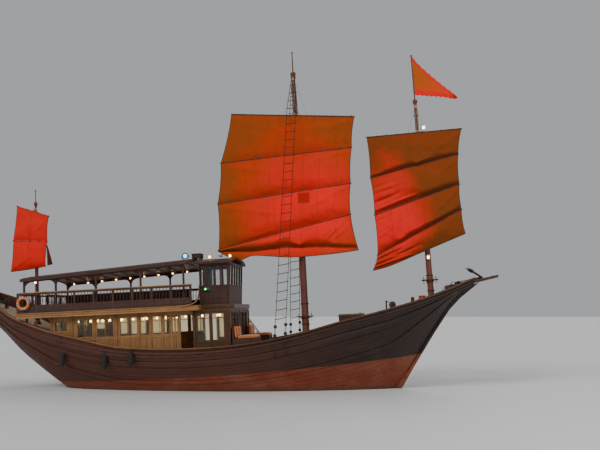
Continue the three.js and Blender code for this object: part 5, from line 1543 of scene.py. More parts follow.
def build_sail(name, sail, m):
    build_canvas(name, sail)
    body, small = f"{name}_sail", name == "mizzen"
    # Spars behind the cloth, thicker at the middle, with whipped ends, and where each one crosses the mast
    spars, whips, level = Shape(), Shape(), []
    for a, b, r in sail["spars"]:
        path = line((a[0], BEHIND, a[1]), (b[0], BEHIND, b[1]), 17)
        swell = [0.72 + 0.28 * math.sin(math.pi * t) ** 0.6 for t in spaced(0.02, 0.98, 17)]
        spars.tube(path, [r * share for share in swell], 16)
        for t in (0.02, 0.5, 0.98):
            whip = [(r, -0.05), (r * 1.08, -0.045), (r * 1.08, 0.045), (r, 0.05)]
            whips.lathe(whip, path[0].lerp(path[-1], t), path[-1] - path[0], 14)
        x = mast_x(m, (a[1] + b[1]) / 2)
        level.append((x, a[1] + (b[1] - a[1]) * (x - a[0]) / (b[0] - a[0])))
    high, low = level[0], level[-1]
    spars.tube(line((low[0], BEHIND, low[1]), (high[0], BEHIND, high[1]), 3), 0.030, 10)
    for x, z in (high, low):
        spars.prism(mast_jaw(x, mast_radius(m, z)), in_plan, z - 0.05, z + 0.05)
    poles = piece(f"{name}_sail_poles", spars, "red_along", body, smooth=40)
    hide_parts(f"{name}_sail_spars")
    # Parrel ropes round the mast, strung with beads
    loops, beads = Shape(), Shape()
    bead = mm("0 -30, 18 -24, 28 0, 18 24, 0 30")
    for x, z in level:
        radius = mast_radius(m, z) + 0.030
        turns = [math.radians(-48 + 276 * k / 24) for k in range(25)]
        loop = [(x + radius * math.cos(t), radius * math.sin(t), z + 0.02 * math.sin(2 * t)) for t in turns]
        loop = [(x + 0.06, -0.262, z)] + loop + [(x - 0.06, -0.262, z)]
        loops.tube(loop, 0.012)
        for p in loop[3:-3:3]:
            beads.lathe(bead, p, (-p[1], p[0] - x, 0), 8)
    piece(f"{name}_parrel_ropes", loops, "line", body)
    piece(f"{name}_parrel_beads", beads, "golden", body)
    # Battens on the near face, each tied through the cloth
    battens, paths, tie = Shape(), [], Shape()
    lift = sail["face"] - 0.012
    for a, b in sail["rows"] + ((sail["spars"][-1][:2],) if small else ()):
        a, b = Vector((a[0] - 0.05, lift, a[1])), Vector((b[0] + 0.05, lift, b[1]))
        battens.sweep(line(a, b, 9), BATTEN)
        paths.append([a.lerp(b, 0.03), a.lerp(b, 0.97)])
    piece(f"{name}_sail_battens", battens, "red_paint" if small else "dark", body, smooth=30)
    for shift in (-0.012, 0.0, 0.012):
        turn = [(shift, q[1] * 0.62, q[2]) for q in ring_path((0, 0, 0), 0.036, AHEAD, 10)]
        tie.tube(turn, 0.0065, 5, closed=True)
    repeat(f"{name}_batten_ties", paths, tie, 0.47, "rope", body)
    piece(f"{name}_spar_whippings", whips, "rope", body)
    # Lifts and a halyard with its two blocks, between the mast and the cloth
    top = (mast_x(m, m["hounds"] - 0.12), -mast_radius(m, m["hounds"]) - 0.03, m["hounds"] - 0.12)
    lines, blocks = Shape(), Shape()
    for x, z in () if small else sail["spars"][-1][:2]:
        lines.tube(hanging(top, (x, -0.20, z + 0.05), 0.05, 12), 0.009, 6)
    for shift in (-0.05, 0.05):
        lower, upper = (high[0] + shift, -0.20, high[1] + 0.10), (top[0] + shift * 0.6, top[1], top[2] - 0.14)
        lines.tube(line(lower, upper, 3), 0.011, 6)
    piece(f"{name}_lifts", lines, "line", body)
    sheave = mm("0 -45, 50 -45, 82 -30, 90 0, 82 30, 50 45, 0 45")
    for place in ((high[0], -0.20, high[1] + 0.10), (top[0], top[1] - 0.01, top[2] - 0.14)):
        blocks.lathe(sheave, place, ABEAM, 16)
    piece(f"{name}_halyard_blocks", blocks, "golden", body, bevel=0.003)


for sail_name, sail_sizes in SAILS.items():
    build_sail(sail_name, sail_sizes, MASTS[sail_name])


def mizzen_flap():
    """An old strip of cloth that hangs at the mizzen's luff."""
    grid, cloth_map = [], []
    for v in spaced(0, 1, 16):
        row = []
        for u in spaced(0, 1, 10):
            y = -0.300 + 0.02 * math.sin(5 * u + 3 * v) * v
            row.append((-10.22 + 0.30 * v ** 0.8 * u + 0.02 * v, y, 8.05 - 1.15 * v + 0.05 * u))
        grid.append(row)
        cloth_map.append([(0.32 * u, 1.15 * v) for u in spaced(0, 1, 10)])
    flap = cloth_piece("mizzen_flap", grid, cloth_map, "old_cloth", "mizzen_sail")
    sheet_area(grid)


mizzen_flap()

FLAG = dict(low=14.93, high=17.0, tip=(12.3, 14.56), columns=70, lines=30)


def build_flag():
    """A long triangle with a scalloped red edge, flying forward."""
    low, high, (tip_x, tip_z) = FLAG["low"], FLAG["high"], FLAG["tip"]
    low_x, high_x = (mast_x(MASTS["fore"], z) + 0.036 for z in (low, high))
    grid, cloth_map, slots = [], [], []
    for v in spaced(0, 1, FLAG["lines"] + 1):
        row = []
        for u in spaced(0, 1, FLAG["columns"] + 1):
            top = (high_x + (tip_x - high_x) * u, high + (tip_z + 0.05 - high) * u ** 0.86)
            droop = 0.03 * math.sin(math.pi * u)
            foot = (low_x + (tip_x - low_x) * u, low + (tip_z - low) * u ** 1.3 - droop)
            scallop = 0.045 * abs(math.sin(math.pi * 9 * u)) * min(1.0, 8 * (1 - u))
            x, z = top[0] + (foot[0] - top[0]) * v, top[1] + (foot[1] - top[1]) * v
            wave = 0.10 * math.sin(5.2 * u + 1.6 * v + 0.4) + 0.05 * math.sin(11 * u - 2.2 * v)
            row.append((x, wave * u ** 0.7, z + (scallop * (1 - v) ** 6 - scallop * v ** 6)))
        grid.append(row)
        cloth_map.append([(x - 10.1, z - 14.5) for x, _, z in row])
    for j in range(FLAG["lines"]):
        for i in range(FLAG["columns"]):
            v, u = (j + 0.5) / FLAG["lines"], (i + 0.5) / FLAG["columns"]
            slots.append(1 if v < 0.10 + 0.25 * u ** 2 or v > 0.84 - 0.34 * u ** 2 or u > 0.93 else 0)
    flag = cloth_piece("foremast_flag", grid, cloth_map, ["flag_cloth", "flag_edge"], "ship", 0.003, slots)
    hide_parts("flag")
    sleeve = piece("flag_hoist_rope", Shape().tube([row[0] for row in grid], 0.010, 6), "line")
    sheet_area(grid)


build_flag()

LADDER = dict(x=2.72, y=3.47, half_foot=0.26, half_head=0.07, head=16.35, knee=0.86, steps=29)
DEADEYE = mm("0 -32, 50 -32, 74 -22, 80 0, 74 22, 50 32, 0 32")


def build_ladder(name, side):
    """A rope ladder with its rungs, its deadeyes and their lashings, and chain plates on the planking."""
    m, knee_at, head_z = MASTS["main"], LADDER["knee"], LADDER["head"]
    mast, radius = mast_x(m, head_z), mast_radius(m, head_z)
    ropes, rungs, eyes, irons, legs = Shape(), Shape(), Shape(), Shape(), []
    out = Vector((0, side, 0))
    for way in (-1, 1):
        x = LADDER["x"] + way * LADDER["half_foot"]
        foot = Vector((x, side * LADDER["y"], rail_at(x) + 0.006))
        head = Vector((mast + way * LADDER["half_head"], side * (radius + 0.04), head_z))
        knee = foot.lerp(head, knee_at)
        knee.x = LADDER["x"] + (mast - LADDER["x"]) * knee_at + way * 0.235
        legs.append((foot, knee, head))
        climb = (knee - foot).normalized()
        low_eye, high_eye = foot + climb * 0.12, foot + climb * 0.56
        leg = line(high_eye.lerp(knee, 0.05), knee, 20) + line(knee, head, 5)[1:]
        ropes.tube([high_eye + climb * 0.02] + leg, 0.014)
        for shift in (Vector((k * 0.030, 0, 0)) for k in (-1, 0, 1)):
            ropes.tube(line(low_eye + shift, high_eye + shift), 0.008, 6)
        for eye in (low_eye, high_eye):
            eyes.lathe(DEADEYE, eye, out, 18)
            irons.tube(ring_path(eye, 0.081, out), 0.009, 6, closed=True)
        high, low = deck_at(x) - 0.20, deck_at(x) - 0.62
        strap = [low_eye - climb * 0.08]
        strap += [foot + Vector((0, side * a, b)) for a, b in ((0.055, -0.012), (0.058, -0.09))]
        strap += [(x, side * (beam_at(x) + 0.080), high), (x, side * (side_at(x, low) + 0.075), low)]
        irons.tube(strap, 0.016)

    def leg_at(leg, t):
        foot, knee, head = leg
        return foot.lerp(knee, t / knee_at) if t < knee_at else knee.lerp(head, (t - knee_at) / (1 - knee_at))

    for t in spaced(0.065, 0.965, LADDER["steps"]):
        a, b = (leg_at(leg, t) for leg in legs)
        reach = (b - a).normalized() * 0.035
        rungs.tube(hanging(a - reach, b + reach, 0.012, 5), 0.019)
        for p in (a, b):
            rungs.tube(ring_path(p, 0.021, UP, 8), 0.008, 4, closed=True)
    rope = piece(f"ladder_ropes_{name}", ropes, "tarred")
    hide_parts(f"main_ladder_{name}")
    piece(f"ladder_rungs_{name}", rungs, "dark")
    piece(f"ladder_deadeyes_{name}", eyes, "dark_up")
    piece(f"chain_plates_{name}", irons, "iron")


for side_name, side_sign in SIDES:
    build_ladder(side_name, side_sign)

def ladder_collar():
    """Three turns of rope round the mast, where the ladders end."""
    m, z = MASTS["main"], LADDER["head"]
    collar = Shape()
    for rise in (-0.03, 0.0, 0.03):
        turn = ring_path((mast_x(m, z), 0, z + rise), mast_radius(m, z) + 0.016, UP, 28)
        collar.tube(turn, 0.017, closed=True)
    piece("ladder_collar", collar, "rope")


ladder_collar()

# Padded seats of the lounges. A pad's rings: share of its outline, level, and share of the crown
LOUNGE = dict(aft=0.26, fore=1.5, near=1.5, far=2.82, seat=0.56)
PAD_RINGS = (
    (0, -1, 0), (0.55, -1, 0), (0.90, -1, 0), (0.975, -0.93, 0), (1, -0.72, 0), (1.012, -0.3, 0),
    (1.015, 0, 0), (1.012, 0.3, 0), (1, 0.66, 0), (0.972, 0.86, 0.02), (0.93, 0.95, 0.12),
    (0.86, 1, 0.30), (0.74, 1, 0.58), (0.58, 1, 0.8), (0.36, 1, 0.95), (0.16, 1, 1), (0, 1, 1),
)


def pad_shape(size, crown, corner=0.075, count=26):
    """A boxed pad about the origin: rounded in plan, crowned above, its sides pulled in a little."""
    long, wide, thick = size
    corners = ((1, 1), (-1, 1), (-1, -1), (1, -1), (1, 1))
    outline, points, rings = [], [], []
    for a, b in zip(corners, corners[1:]):
        for t in (k / count for k in range(count)):
            x, y = a[0] + (b[0] - a[0]) * t, a[1] + (b[1] - a[1]) * t
            edge, blend = math.sin(math.pi * t), max(0.0, 1 - min(t, 1 - t) / 0.16) ** 2
            px, py = x * (long / 2 - 0.012 * edge), y * (wide / 2 - 0.012 * edge)
            outline.append((px - x * corner * 0.32 * blend, py - y * corner * 0.32 * blend))
    for share, level, lift in PAD_RINGS:
        ring = outline if share else [(0, 0)]
        rings.append(list(range(len(points), len(points) + len(ring))))
        points += [(x * share, y * share, level * thick / 2 + crown * lift) for x, y in ring]
    return points, between(rings), outline


def swell(points, faces, cap=0.016):
    """Fills a pad with air as cloth, and caps how far a point may move."""
    obj = placed("pad_form", mesh_of("pad_form", points, faces))
    grain = obj.modifiers.new("grain", "REMESH")
    grain.mode, grain.voxel_size = "VOXEL", 0.017
    bpy.context.view_layer.update()
    mesh = bpy.data.meshes.new_from_object(final_form(obj))
    obj.modifiers.remove(grain)
    obj.data = mesh
    start = [v.co.copy() for v in mesh.vertices]
    cloth = obj.modifiers.new("cloth", "CLOTH")
    settings, frames = cloth.settings, 20
    settings.use_pressure = True
    settings.uniform_pressure_force = 4.0
    settings.effector_weights.gravity = 0.0
    settings.quality = 5
    settings.tension_stiffness = settings.compression_stiffness = 22.0
    settings.bending_stiffness = 0.4
    cloth.point_cache.frame_start, cloth.point_cache.frame_end = 1, frames
    scene = bpy.context.scene
    for f in range(1, frames + 1):
        scene.frame_set(f)
    moved = [v.co.copy() for v in final_form(obj).data.vertices]
    scene.frame_set(1)
    result = []
    for a, b in zip(start, moved):
        step = (b - a) * (0.25 if a.z < -0.04 else 1.0)
        result.append(a + step.normalized() * min(step.length, cap) if step.length > 1e-9 else a)
    pieces = [tuple(p.vertices) for p in mesh.polygons]
    bpy.data.objects.remove(obj)
    return result, pieces


def build_pad_kind(size, crown):
    """A pad's points and faces, the lines its welts follow, and the places of its buttons."""
    points, faces, outline = pad_shape(size, crown)
    points, faces = swell(points, faces)
    points = [Vector(p) for p in points]
    tree = BVHTree.FromPolygons(points, faces)
    welts = []
    for level in (0.78, -0.78):
        path = []
        for x, y in outline:
            out = Vector((x / size[0], y / size[1], 0)).normalized()
            edge = Vector((x, y, level * size[2] / 2))
            path.append(tree.ray_cast(edge + out * 0.08, -out)[0] or edge)
        around_it = zip(path[-1:] + path, path, path[1:] + path)
        welts.append([(before + p * 2 + after) / 4 for before, p, after in around_it])
    spots = [(u * size[0], v * size[1], 0.4) for u in (-0.25, 0.25) for v in (-0.25, 0.25)]
    return points, faces, welts, [tree.ray_cast(Vector(spot), Vector((0, 0, -1)))[0] for spot in spots]


def lounge_pads():
    back_face, fore = LOUNGE["aft"] + 0.0903, LOUNGE["fore"]
    seat_aft, wide = back_face + 0.155, (LOUNGE["far"] - LOUNGE["near"]) / 2
    low = max(deck_at(LOUNGE["aft"]), deck_at(fore)) + LOUNGE["seat"] + 0.001
    seat_size, back_size = (fore - seat_aft - 0.012, wide - 0.012, 0.105), (0.60, wide - 0.018, 0.115)
    kinds = (
        ("seat", build_pad_kind(seat_size, 0.022), ((seat_aft + fore) / 2, low + seat_size[2] / 2), 0),
        ("back", build_pad_kind(back_size, 0.018), (back_face + 0.083, low + back_size[0] / 2 + 0.012), 86),
    )
    button = mm("19 -6, 20 0, 15 6, 0 9")
    for (name, side), k, kind in ((side, k, kind) for side in SIDES for k in (0, 1) for kind in kinds):
        label, (points, faces, welts, buttons), (x, z), lean = kind
        y = side * (LOUNGE["near"] + wide * (k + 0.5))
        place = Matrix.Translation((x, y, z)) @ Matrix.Rotation(math.radians(lean), 4, "Y")
        shape = Shape().add([place @ p for p in points], faces)
        pad = piece(f"{label}_pad_{name}_{k + 1}", shape, "cushion", smooth=80)
        fine = pad.modifiers.new("fine", "SUBSURF")
        fine.levels = fine.render_levels = 1
        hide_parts(f"cushion_{name}")
        cords, studs = Shape(), Shape()
        for path in welts:
            cords.tube([place @ p for p in path], 0.0065, 6, closed=True)
        piece(f"{label}_welt_{name}_{k + 1}", cords, "piping")
        if label == "back":
            for p in buttons:
                studs.lathe(button, place @ p, place.to_3x3() @ Vector(UP), 12)
            piece(f"back_buttons_{name}_{k + 1}", studs, "piping")


def ships_wheel():
    centre, reach = Vector((-0.64, 0, 5.08)), 0.288
    spoke = mm(
        "15 50, 15 75, 10 85, 17 120, 19 150, 14 200, 10 225, 13 235, 13 300, 10 312, 10 318, 16 325, "
        "16.5 336, 13 350, 6 358, 0 360"
    )
    hub = mm("0 -45, 30 -45, 34 -40, 48 -32, 56 -24, 60 -18, 60 30, 52 40, 40 48, 36 78.5, 0 78.5")
    cap = mm("0 -62, 8 -61, 18 -55, 26 -47, 30 -45.5, 30 -44, 0 -44")
    stud = mm("0 0, 8 0, 7.5 3, 0 5")
    timber, brass = Shape().tube(ring_path(centre, reach, AHEAD, 64), 0.023, 12, closed=True), Shape()
    for way in (-0.020, 0.020):
        brass.tube(ring_path(centre + Vector((way, 0, 0)), reach, AHEAD, 64), 0.007, 6, closed=True)
    for t in around(8):
        out = Vector((0, math.cos(t), math.sin(t)))
        timber.lathe(spoke, centre, out, 12)
        brass.lathe(stud, centre + Vector((-0.0225, 0, 0)) + out * reach, (-1, 0, 0), 8)
    timber.lathe(hub, centre, AHEAD)
    brass.lathe(cap, centre, AHEAD, 20)
    wheel = piece("wheel_spokes_and_rim", timber, "golden_cross", "ships_wheel")
    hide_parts("ships_wheel")
    piece("wheel_brass", brass, "brass", "ships_wheel")
    bowl = mm("0 0, 85 0, 85 20, 70 30, 70 70, 85 80, 80 110, 55 145, 20 160, 0 162")
    piece("compass_bowl", Shape().lathe(bowl, (-0.39, 0, 5.24), UP, 28), "brass")


# Ground tackle at the bow, on a beam that tapers forward
def bow_under(x):
    return 4.745 + (x - 12.4) * 0.2


def bow_top(x):
    return bow_under(x) + 0.230 - (x - 11.0) * 0.1 / 2.74


def anchor(crown, ring_end):
    shank = [0.036, 0.042, 0.041, 0.041, 0.042, 0.043, 0.045, 0.047, 0.049]
    iron = Shape().tube(line(ring_end, crown, 9), shank, 12)
    x, z = 11.64, bow_top(11.64) + 0.07
    stock = [0.026, 0.032, 0.037, 0.040, 0.041, 0.040, 0.037, 0.032, 0.026]
    ball = mm("0 -35, 30 -34, 48 -18, 52 0, 48 18, 30 34, 0 35")
    iron.tube(line((x, -0.62, z), (x, 0.62, z), 9), stock, 12)
    for s in (-1, 1):
        iron.lathe(ball, (x, s * 0.62, z), ABEAM, 14)
        tip = Vector((12.15, s * 0.43, crown.z + 0.52))
        bend = crown.lerp(tip, 0.5) + Vector((0.06, -s * 0.01, -0.03))
        arm = [
            crown + (bend - crown) * t if t < 1 else bend + (tip - bend) * (t - 1)
            for t in spaced(0, 2, 11)
        ]
        iron.tube(arm, [0.048, 0.046, 0.044, 0.042, 0.040, 0.037, 0.034, 0.031, 0.028, 0.025, 0.018], 10)
        ahead = (tip - bend).normalized()
        flat = ahead.cross(Vector((0, s, 0.55)).normalized()).normalized()
        thick = ahead.cross(flat).normalized() * 0.012
        c = bend + (tip - bend) * 0.45
        palm = mm("-200 0, -60 75, 100 60, 240 0, 100 -60, -60 -75")
        blade = [c + ahead * a + flat * b for a, b in palm]
        sides = [(i, i + 6, (i + 1) % 6 + 6, (i + 1) % 6) for i in range(6)]
        ends = [(0, 1, 2, 3, 4, 5), (11, 10, 9, 8, 7, 6)]
        iron.add([p + thick for p in blade] + [p - thick for p in blade], ends + sides)
    iron.lathe(mm("0 -55, 35 -50, 56 -20, 58 20, 40 50, 0 58"), crown, AHEAD, 14)
    iron.tube(ring_path(ring_end + Vector((-0.075, 0, -0.004)), 0.085, (0, 1, 0.25), 24), 0.014, closed=True)
    stowed = piece("stowed_anchor", iron, "iron", smooth=45)
    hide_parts("anchor")


def ground_tackle():
    """A stowed anchor, its chain aft along the deck to the barrel, and bands and a lashing on the beam."""
    ring_end = Vector((11.5, 0, bow_top(11.5) + 0.0425))
    anchor(Vector((12.9, 0, bow_top(12.9) + 0.0505)), ring_end)
    oval = [(0.052 * math.cos(t), 0.026 * math.sin(t)) for t in around(10)]
    path = [ring_end + Vector((-0.14, 0, -0.02)), (11.22, 0, bow_top(11.22) + 0.02)]
    path += [(11.02, 0, bow_top(11.02) + 0.012), (10.93, 0, bow_top(11.0) - 0.12)]
    path += [(x, 0.02, deck_at(x) + 0.03) for x in spaced(10.84, 10.58, 3)]
    for x, y in ((10.35, 0.22), (10.1, 0.28), (9.8, 0.2), (9.5, 0.08), (9.2, 0.03), (8.9, 0.0), (8.6, 0.0)):
        path.append((x, y, deck_at(x) + (0.026 if x > 8.8 else 0.10)))
    path = [Vector(p) for p in path + [(8.33, 0.0, deck_at(8.25) + 0.325)]]
    shifted = [path[0].lerp(path[1], 0.35)] + path[1:]
    lying, standing = [(x, y, 0) for x, y in oval], [(x, 0, y) for x, y in oval]
    for label, run, bent in (("flat", path, lying), ("upright", shifted, standing)):
        link = Shape().tube(bent, 0.0095, 5, closed=True)
        repeat(f"anchor_chain_{label}", [run], link, 0.146, "iron")
    bands, lash = Shape(), Shape()
    for x in (11.3, 12.35, 13.45):
        low, high = bow_under(x) - 0.008, (bow_under(x) + 0.130 + (13.74 - x) * 0.1 / 2.74) + 0.008
        band = [(x - 0.03, low), (x + 0.03, low + 0.012), (x + 0.03, high), (x - 0.03, high)]
        bands.prism(band, in_side, -0.118, 0.118)
    piece("bow_beam_bands", bands, "iron", bevel=0.004)
    for k in range(7):
        x = 11.86 + 0.034 * k
        under, top = bow_under(x), bow_top(x) + 0.095
        loop = [(-0.125, under + 0.03), (-0.128, top - 0.14), (-0.06, top), (0.06, top), (0.128, top - 0.14)]
        loop += [(0.125, under + 0.03), (0.08, under - 0.018), (-0.08, under - 0.018)]
        lash.tube([(x, y, z) for y, z in loop], 0.017, 7, closed=True)
    piece("anchor_lashing", lash, "line")


def windlass():
    x, z, r = 8.25, 3.8725, 0.15
    iron, whelps, holes, plates = Shape(), Shape(), Shape(), Shape()
    for y in (-0.66, -0.36, 0.36, 0.66):
        band = mm("-12 -20, 10 -19, 12 0, 10 19, -12 20")
        iron.lathe([(r + out, h) for out, h in band], (x, y, z), ABEAM, 32)
    teeth = [(t + turn, r + out) for t in around(12) for turn, out in ((0, 0.055), (0.06, 0.018))]
    wheel = [(x + reach * math.cos(t), z + reach * math.sin(t)) for t, reach in teeth]
    iron.prism(wheel, in_side, 0.46, 0.52)
    piece("windlass_bands_and_pawl_wheel", iron, "iron", "windlass_barrel", bevel=0.003)
    section = mm("-2 -35, -2 35, 22 24, 22 -24")
    for t in around(8, 0.5):
        out, round_way = Vector((math.cos(t), 0, math.sin(t))), Vector((-math.sin(t), 0, math.cos(t)))
        c = Vector((x, 0, z)) + out * (r * math.cos(math.pi / 8))
        points = [c + out * h + round_way * w + Vector((0, y, 0)) for y in (-0.32, 0.32) for h, w in section]
        walls = [(0, 1, 5, 4), (1, 2, 6, 5), (2, 3, 7, 6), (3, 0, 4, 7)]
        whelps.add(points, [(3, 2, 1, 0), (4, 5, 6, 7)] + walls)
    piece("windlass_whelps", whelps, "dark_cross", "windlass_barrel", bevel=0.004)
    socket = mm("18 0, 30 0, 31 6, 26 9, 18 4")
    for y, turn in ((-0.57, 0.0), (-0.50, 0.0), (0.57, 0.4)):
        for t in around(4):
            out = Vector((math.cos(t + turn), 0, math.sin(t + turn)))
            holes.lathe(socket, Vector((x, y, z)) + out * (r * 0.955), out, 14)
    piece("windlass_bar_sockets", holes, "iron", "windlass_barrel")
    arm, post = mm("-330 190, -300 235, -155 135, -165 105"), oblong(0.04, -0.30, 0.24)
    pawl = Shape().prism([(x + a, z + b) for a, b in arm], in_side, 0.465, 0.515)
    pawl.prism([(x - 0.32 + a, z + b) for a, b in post], in_side, 0.43, 0.55)
    piece("windlass_pawl", pawl, "iron", bevel=0.004)
    for s in (-1, 1):
        plate = mm("52 0, 85 0, 88 6, 80 12, 52 12")
        plates.lathe(plate, (x, s * 0.8203, z), (0, s, 0))
        for t in around(6):
            spot = (x + 0.070 * math.cos(t), s * 0.832, z + 0.070 * math.sin(t))
            plates.lathe([(0.008, 0.0), (0.008, 0.008), (0, 0.010)], spot, (0, s, 0), 6)
    piece("windlass_bearing_plates", plates, "iron")


def hatch():
    battens, irons = Shape(), Shape()
    for y in (-0.42, 0.0, 0.42):
        battens.block(5.47, 6.73, y - 0.035, y + 0.035, 3.489, 3.512)
    piece("hatch_battens", battens, "dark", "hatch_lid", bevel=0.004)
    for y in (-0.25, 0.25):
        irons.tube(ring_path((6.55, y, 3.512), 0.045, (0.25, 1, 0), 18), 0.008, 6, closed=True)
        irons.block(6.52, 6.58, y - 0.035, y + 0.035, 3.4885, 3.496)
    for x in (5.75, 6.45):
        irons.block(x - 0.035, x + 0.035, 0.60, 0.662, 3.30, 3.35)
    piece("hatch_lid_rings", irons, "iron", "hatch_lid", bevel=0.002)


# Floats, fenders and lamps
def life_ring(name, centre, radius=0.27):
    """An orange ring with four white bands, and a grab line through them."""
    centre, sides, count = Vector(centre), 14, 64
    path, grab = ring_path(centre, radius, ABEAM, count), []
    shape = Shape().tube(path, 0.062, sides, closed=True)
    shape.slots = [0 if i // sides % 16 > 11 else 1 for i in range(len(shape.faces))]
    piece(name, shape, ["white_paint", "orange_paint"], smooth=60)
    for i, p in enumerate(path):
        sway = 0.055 + 0.045 * abs(math.sin(4 * math.pi * i / count))
        grab.append(centre + (p - centre).normalized() * (radius + sway))
    wraps = Shape()
    for base in path[14::16]:
        way = Vector(ABEAM).cross((base - centre).normalized())
        for shift in (-0.02, 0.0, 0.02):
            wraps.tube(ring_path(base + way * shift, 0.066, way, 16), 0.010, 5, closed=True)
    piece(name + "_grab_line", Shape().tube(grab, 0.008, 6, closed=True), "line")
    piece(name + "_wraps", wraps, "line")


def floats(name, side):
    life_ring(f"life_ring_aft_{name}", (-10.2, side * 3.40, 4.83))
    bodies, ropes = Shape(), Shape()
    fender = mm(
        "0 -360, 50 -360, 55 -330, 110 -270, 135 -200, 140 0, 135 200, 110 270, 55 330, 50 380, 0 385",
    )
    for x, z in ((-8.3, 1.95), (-6.0, 1.75), (-4.6, 1.85)):
        y, top, eye = side * (side_at(x, z) + 0.20), rail_at(x), z + 0.37
        bodies.lathe(fender, (x, y, z))
        hook, high = side * (beam_at(x) + 0.10), top - 0.03
        run = [(y, eye), ((y + hook) / 2, (eye + high) / 2), (hook, high), (hook - side * 0.03, top + 0.022)]
        ropes.tube([(x, a, b) for a, b in run + [(hook - side * 0.10, top + 0.024)]], 0.012, 6)
    piece(f"fenders_{name}", bodies, "black_rubber", smooth=50)
    piece(f"fender_lines_{name}", ropes, "rope")


LANTERN = (
    mm("0 0, 55 0, 58 12, 45 22, 0 22"),
    mm("0 115, 52 115, 54 125, 30 150, 12 165, 0 168"),
    mm("0 22, 36 22, 43 45, 44 90, 38 115, 0 115"),
)


def lantern(name, centre, finish, size):
    """A small cage lamp: base, cap and glass."""
    base, cap, pane = ([(r * size, h * size) for r, h in profile] for profile in LANTERN)
    cage = Shape().lathe(base, centre, sides=16).lathe(cap, centre, sides=16)
    for t in around(4, 2.5):
        side = Vector((math.cos(t), math.sin(t), 0))
        bar = ((0.048, 0.015), (0.050, 0.07), (0.047, 0.12))
        cage.tube([Vector(centre) + side * r * size + Vector(UP) * h * size for r, h in bar], 0.003 * size, 5)
    piece(name, cage, "brass")
    piece(name + "_glass", Shape().lathe(pane, centre, sides=16), finish)


def mast_lamp(name, mast, z, finish, size, way=(0, -1), reach=0.11):
    """A lamp on an iron arm that stands out from a mast."""
    x, r, out = mast_x(MASTS[mast], z), mast_radius(MASTS[mast], z), Vector((*way, 0))

    def spot(far, rise):
        return Vector((x, 0, z + rise)) + out * (r + far)

    bend = ((-0.01, -0.06), (reach * 0.45, -0.07), (reach * 0.9, -0.05), (reach, 0))
    arm = Shape().tube([spot(far, rise) for far, rise in bend], 0.011)
    arm.lathe(disc(0.036, 0.02), spot(-0.01, -0.06), out, 14)
    piece(name + "_arm", arm, "iron", smooth=40)
    lantern(name, spot(reach, -0.002), finish, size)


def lamps():
    mast_lamp("foremast_low_lamp", "fore", 6.12, "warm", 1.5)
    mast_lamp("foremast_top_lamp", "fore", 12.99, "white_light", 1.7, (1, 0), 0.25)
    mast_lamp("mizzenmast_lamp", "mizzen", 5.95, "warm", 1.2)
    roof = CABIN_TOP + 0.075 + ROOF["rise"] * (1 - (1.25 / ROOF["half"]) ** 2)
    for label, x in (("aft", -1.05), ("fore", 0.02)):
        lantern(f"wheelhouse_lamp_{label}", (x, -1.25, roof + 0.055), "warm", 1.3)


def search_light():
    """A lamp on the wheelhouse roof, facing ahead, and a screened lamp on each side of the wheelhouse."""
    x, z = -0.75, 6.86
    foot = mm("0 0, 90 0, 90 12, 30 30, 22 130, 0 130")
    drum = mm("0 -130, 50 -120, 100 -70, 125 0, 130 90, 138 95, 138 120, 122 120, 118 100, 0 100")
    lamp = Shape().lathe(foot, (x, 0, z - 0.13), sides=18).lathe(drum, (x, 0, z + 0.12), AHEAD, 28)
    for s in (-1, 1):
        yoke = mm("20 0, 100 10, 150 60, 150 130")
        lamp.tube([(x, s * y, z + rise) for y, rise in yoke], 0.012)
    lens = mm("0 101, 117 101, 90 113, 50 119, 0 121")
    piece("search_light", lamp, "white_paint", smooth=40)
    piece("search_light_lens", Shape().lathe(lens, (x, 0, z + 0.12), AHEAD, 28), "glass")
    for (name, side), colour in zip(SIDES, ("green", "red")):
        y = side * 1.905
        screen = Shape().block(-1.30, -0.98, y, y + side * 0.02, 5.06, 5.22)
        screen.block(-1.30, -1.28, y, y + side * 0.13, 5.06, 5.22)
        screen.block(-1.30, -0.98, y, y + side * 0.13, 5.045, 5.06)
        piece(f"side_light_screen_{name}", screen, f"{colour}_paint", bevel=0.004)
        lantern(f"side_light_{name}", (-1.18, y + side * 0.072, 5.061), f"{colour}_light", 0.9)


def roof_locker():
    """A chest strapped on the wheelhouse roof's aft edge."""
    chest = Shape().block(-1.97, -1.52, -1.35, -0.65, 6.78, 6.98)
    chest.block(-2.00, -1.49, -1.38, -0.62, 6.98, 7.015)
    for x in (-1.92, -1.57):
        chest.block(x - 0.03, x + 0.03, -1.33, -0.67, 6.64, 6.78)
    straps = Shape()
    for y in (-1.18, -0.82):
        straps.block(-2.006, -1.484, y - 0.03, y + 0.03, 6.775, 7.021)
    piece("roof_locker", chest, "dark_cross", bevel=0.01)
    piece("roof_locker_straps", straps, "iron", bevel=0.003)


def flood_light():
    """A round blue-white lamp on a yoke at the canopy's fore end, facing starboard."""
    x, y, z, roof = -2.16, -1.98, 6.86, 6.655
    drum = mm("0 -150, 70 -150, 120 -100, 150 0, 155 55, 165 60, 165 85, 112 85, 108 60, 0 60")
    lamp = Shape().lathe(drum, (x, y, z), (0, -1, 0), 32).lathe(disc(0.08, 0.015), (x, y, roof), UP, 20)
    for s in (-1, 1):
        yoke = [(0, roof + 0.012), (s * 0.10, roof + 0.02), (s * 0.185, roof + 0.07), (s * 0.185, z)]
        lamp.tube([(x + a, y, b) for a, b in yoke], 0.013)
        lamp.lathe(disc(0.026, 0.045), (x + s * 0.15, y, z), (s, 0, 0), 12)
    lens = mm("0 61, 107 61, 90 78, 50 87, 0 90")
    piece("flood_light", lamp, "iron", smooth=40)
    piece("flood_light_lens", Shape().lathe(lens, (x, y, z), (0, -1, 0), 32), "blue_light", smooth=60)


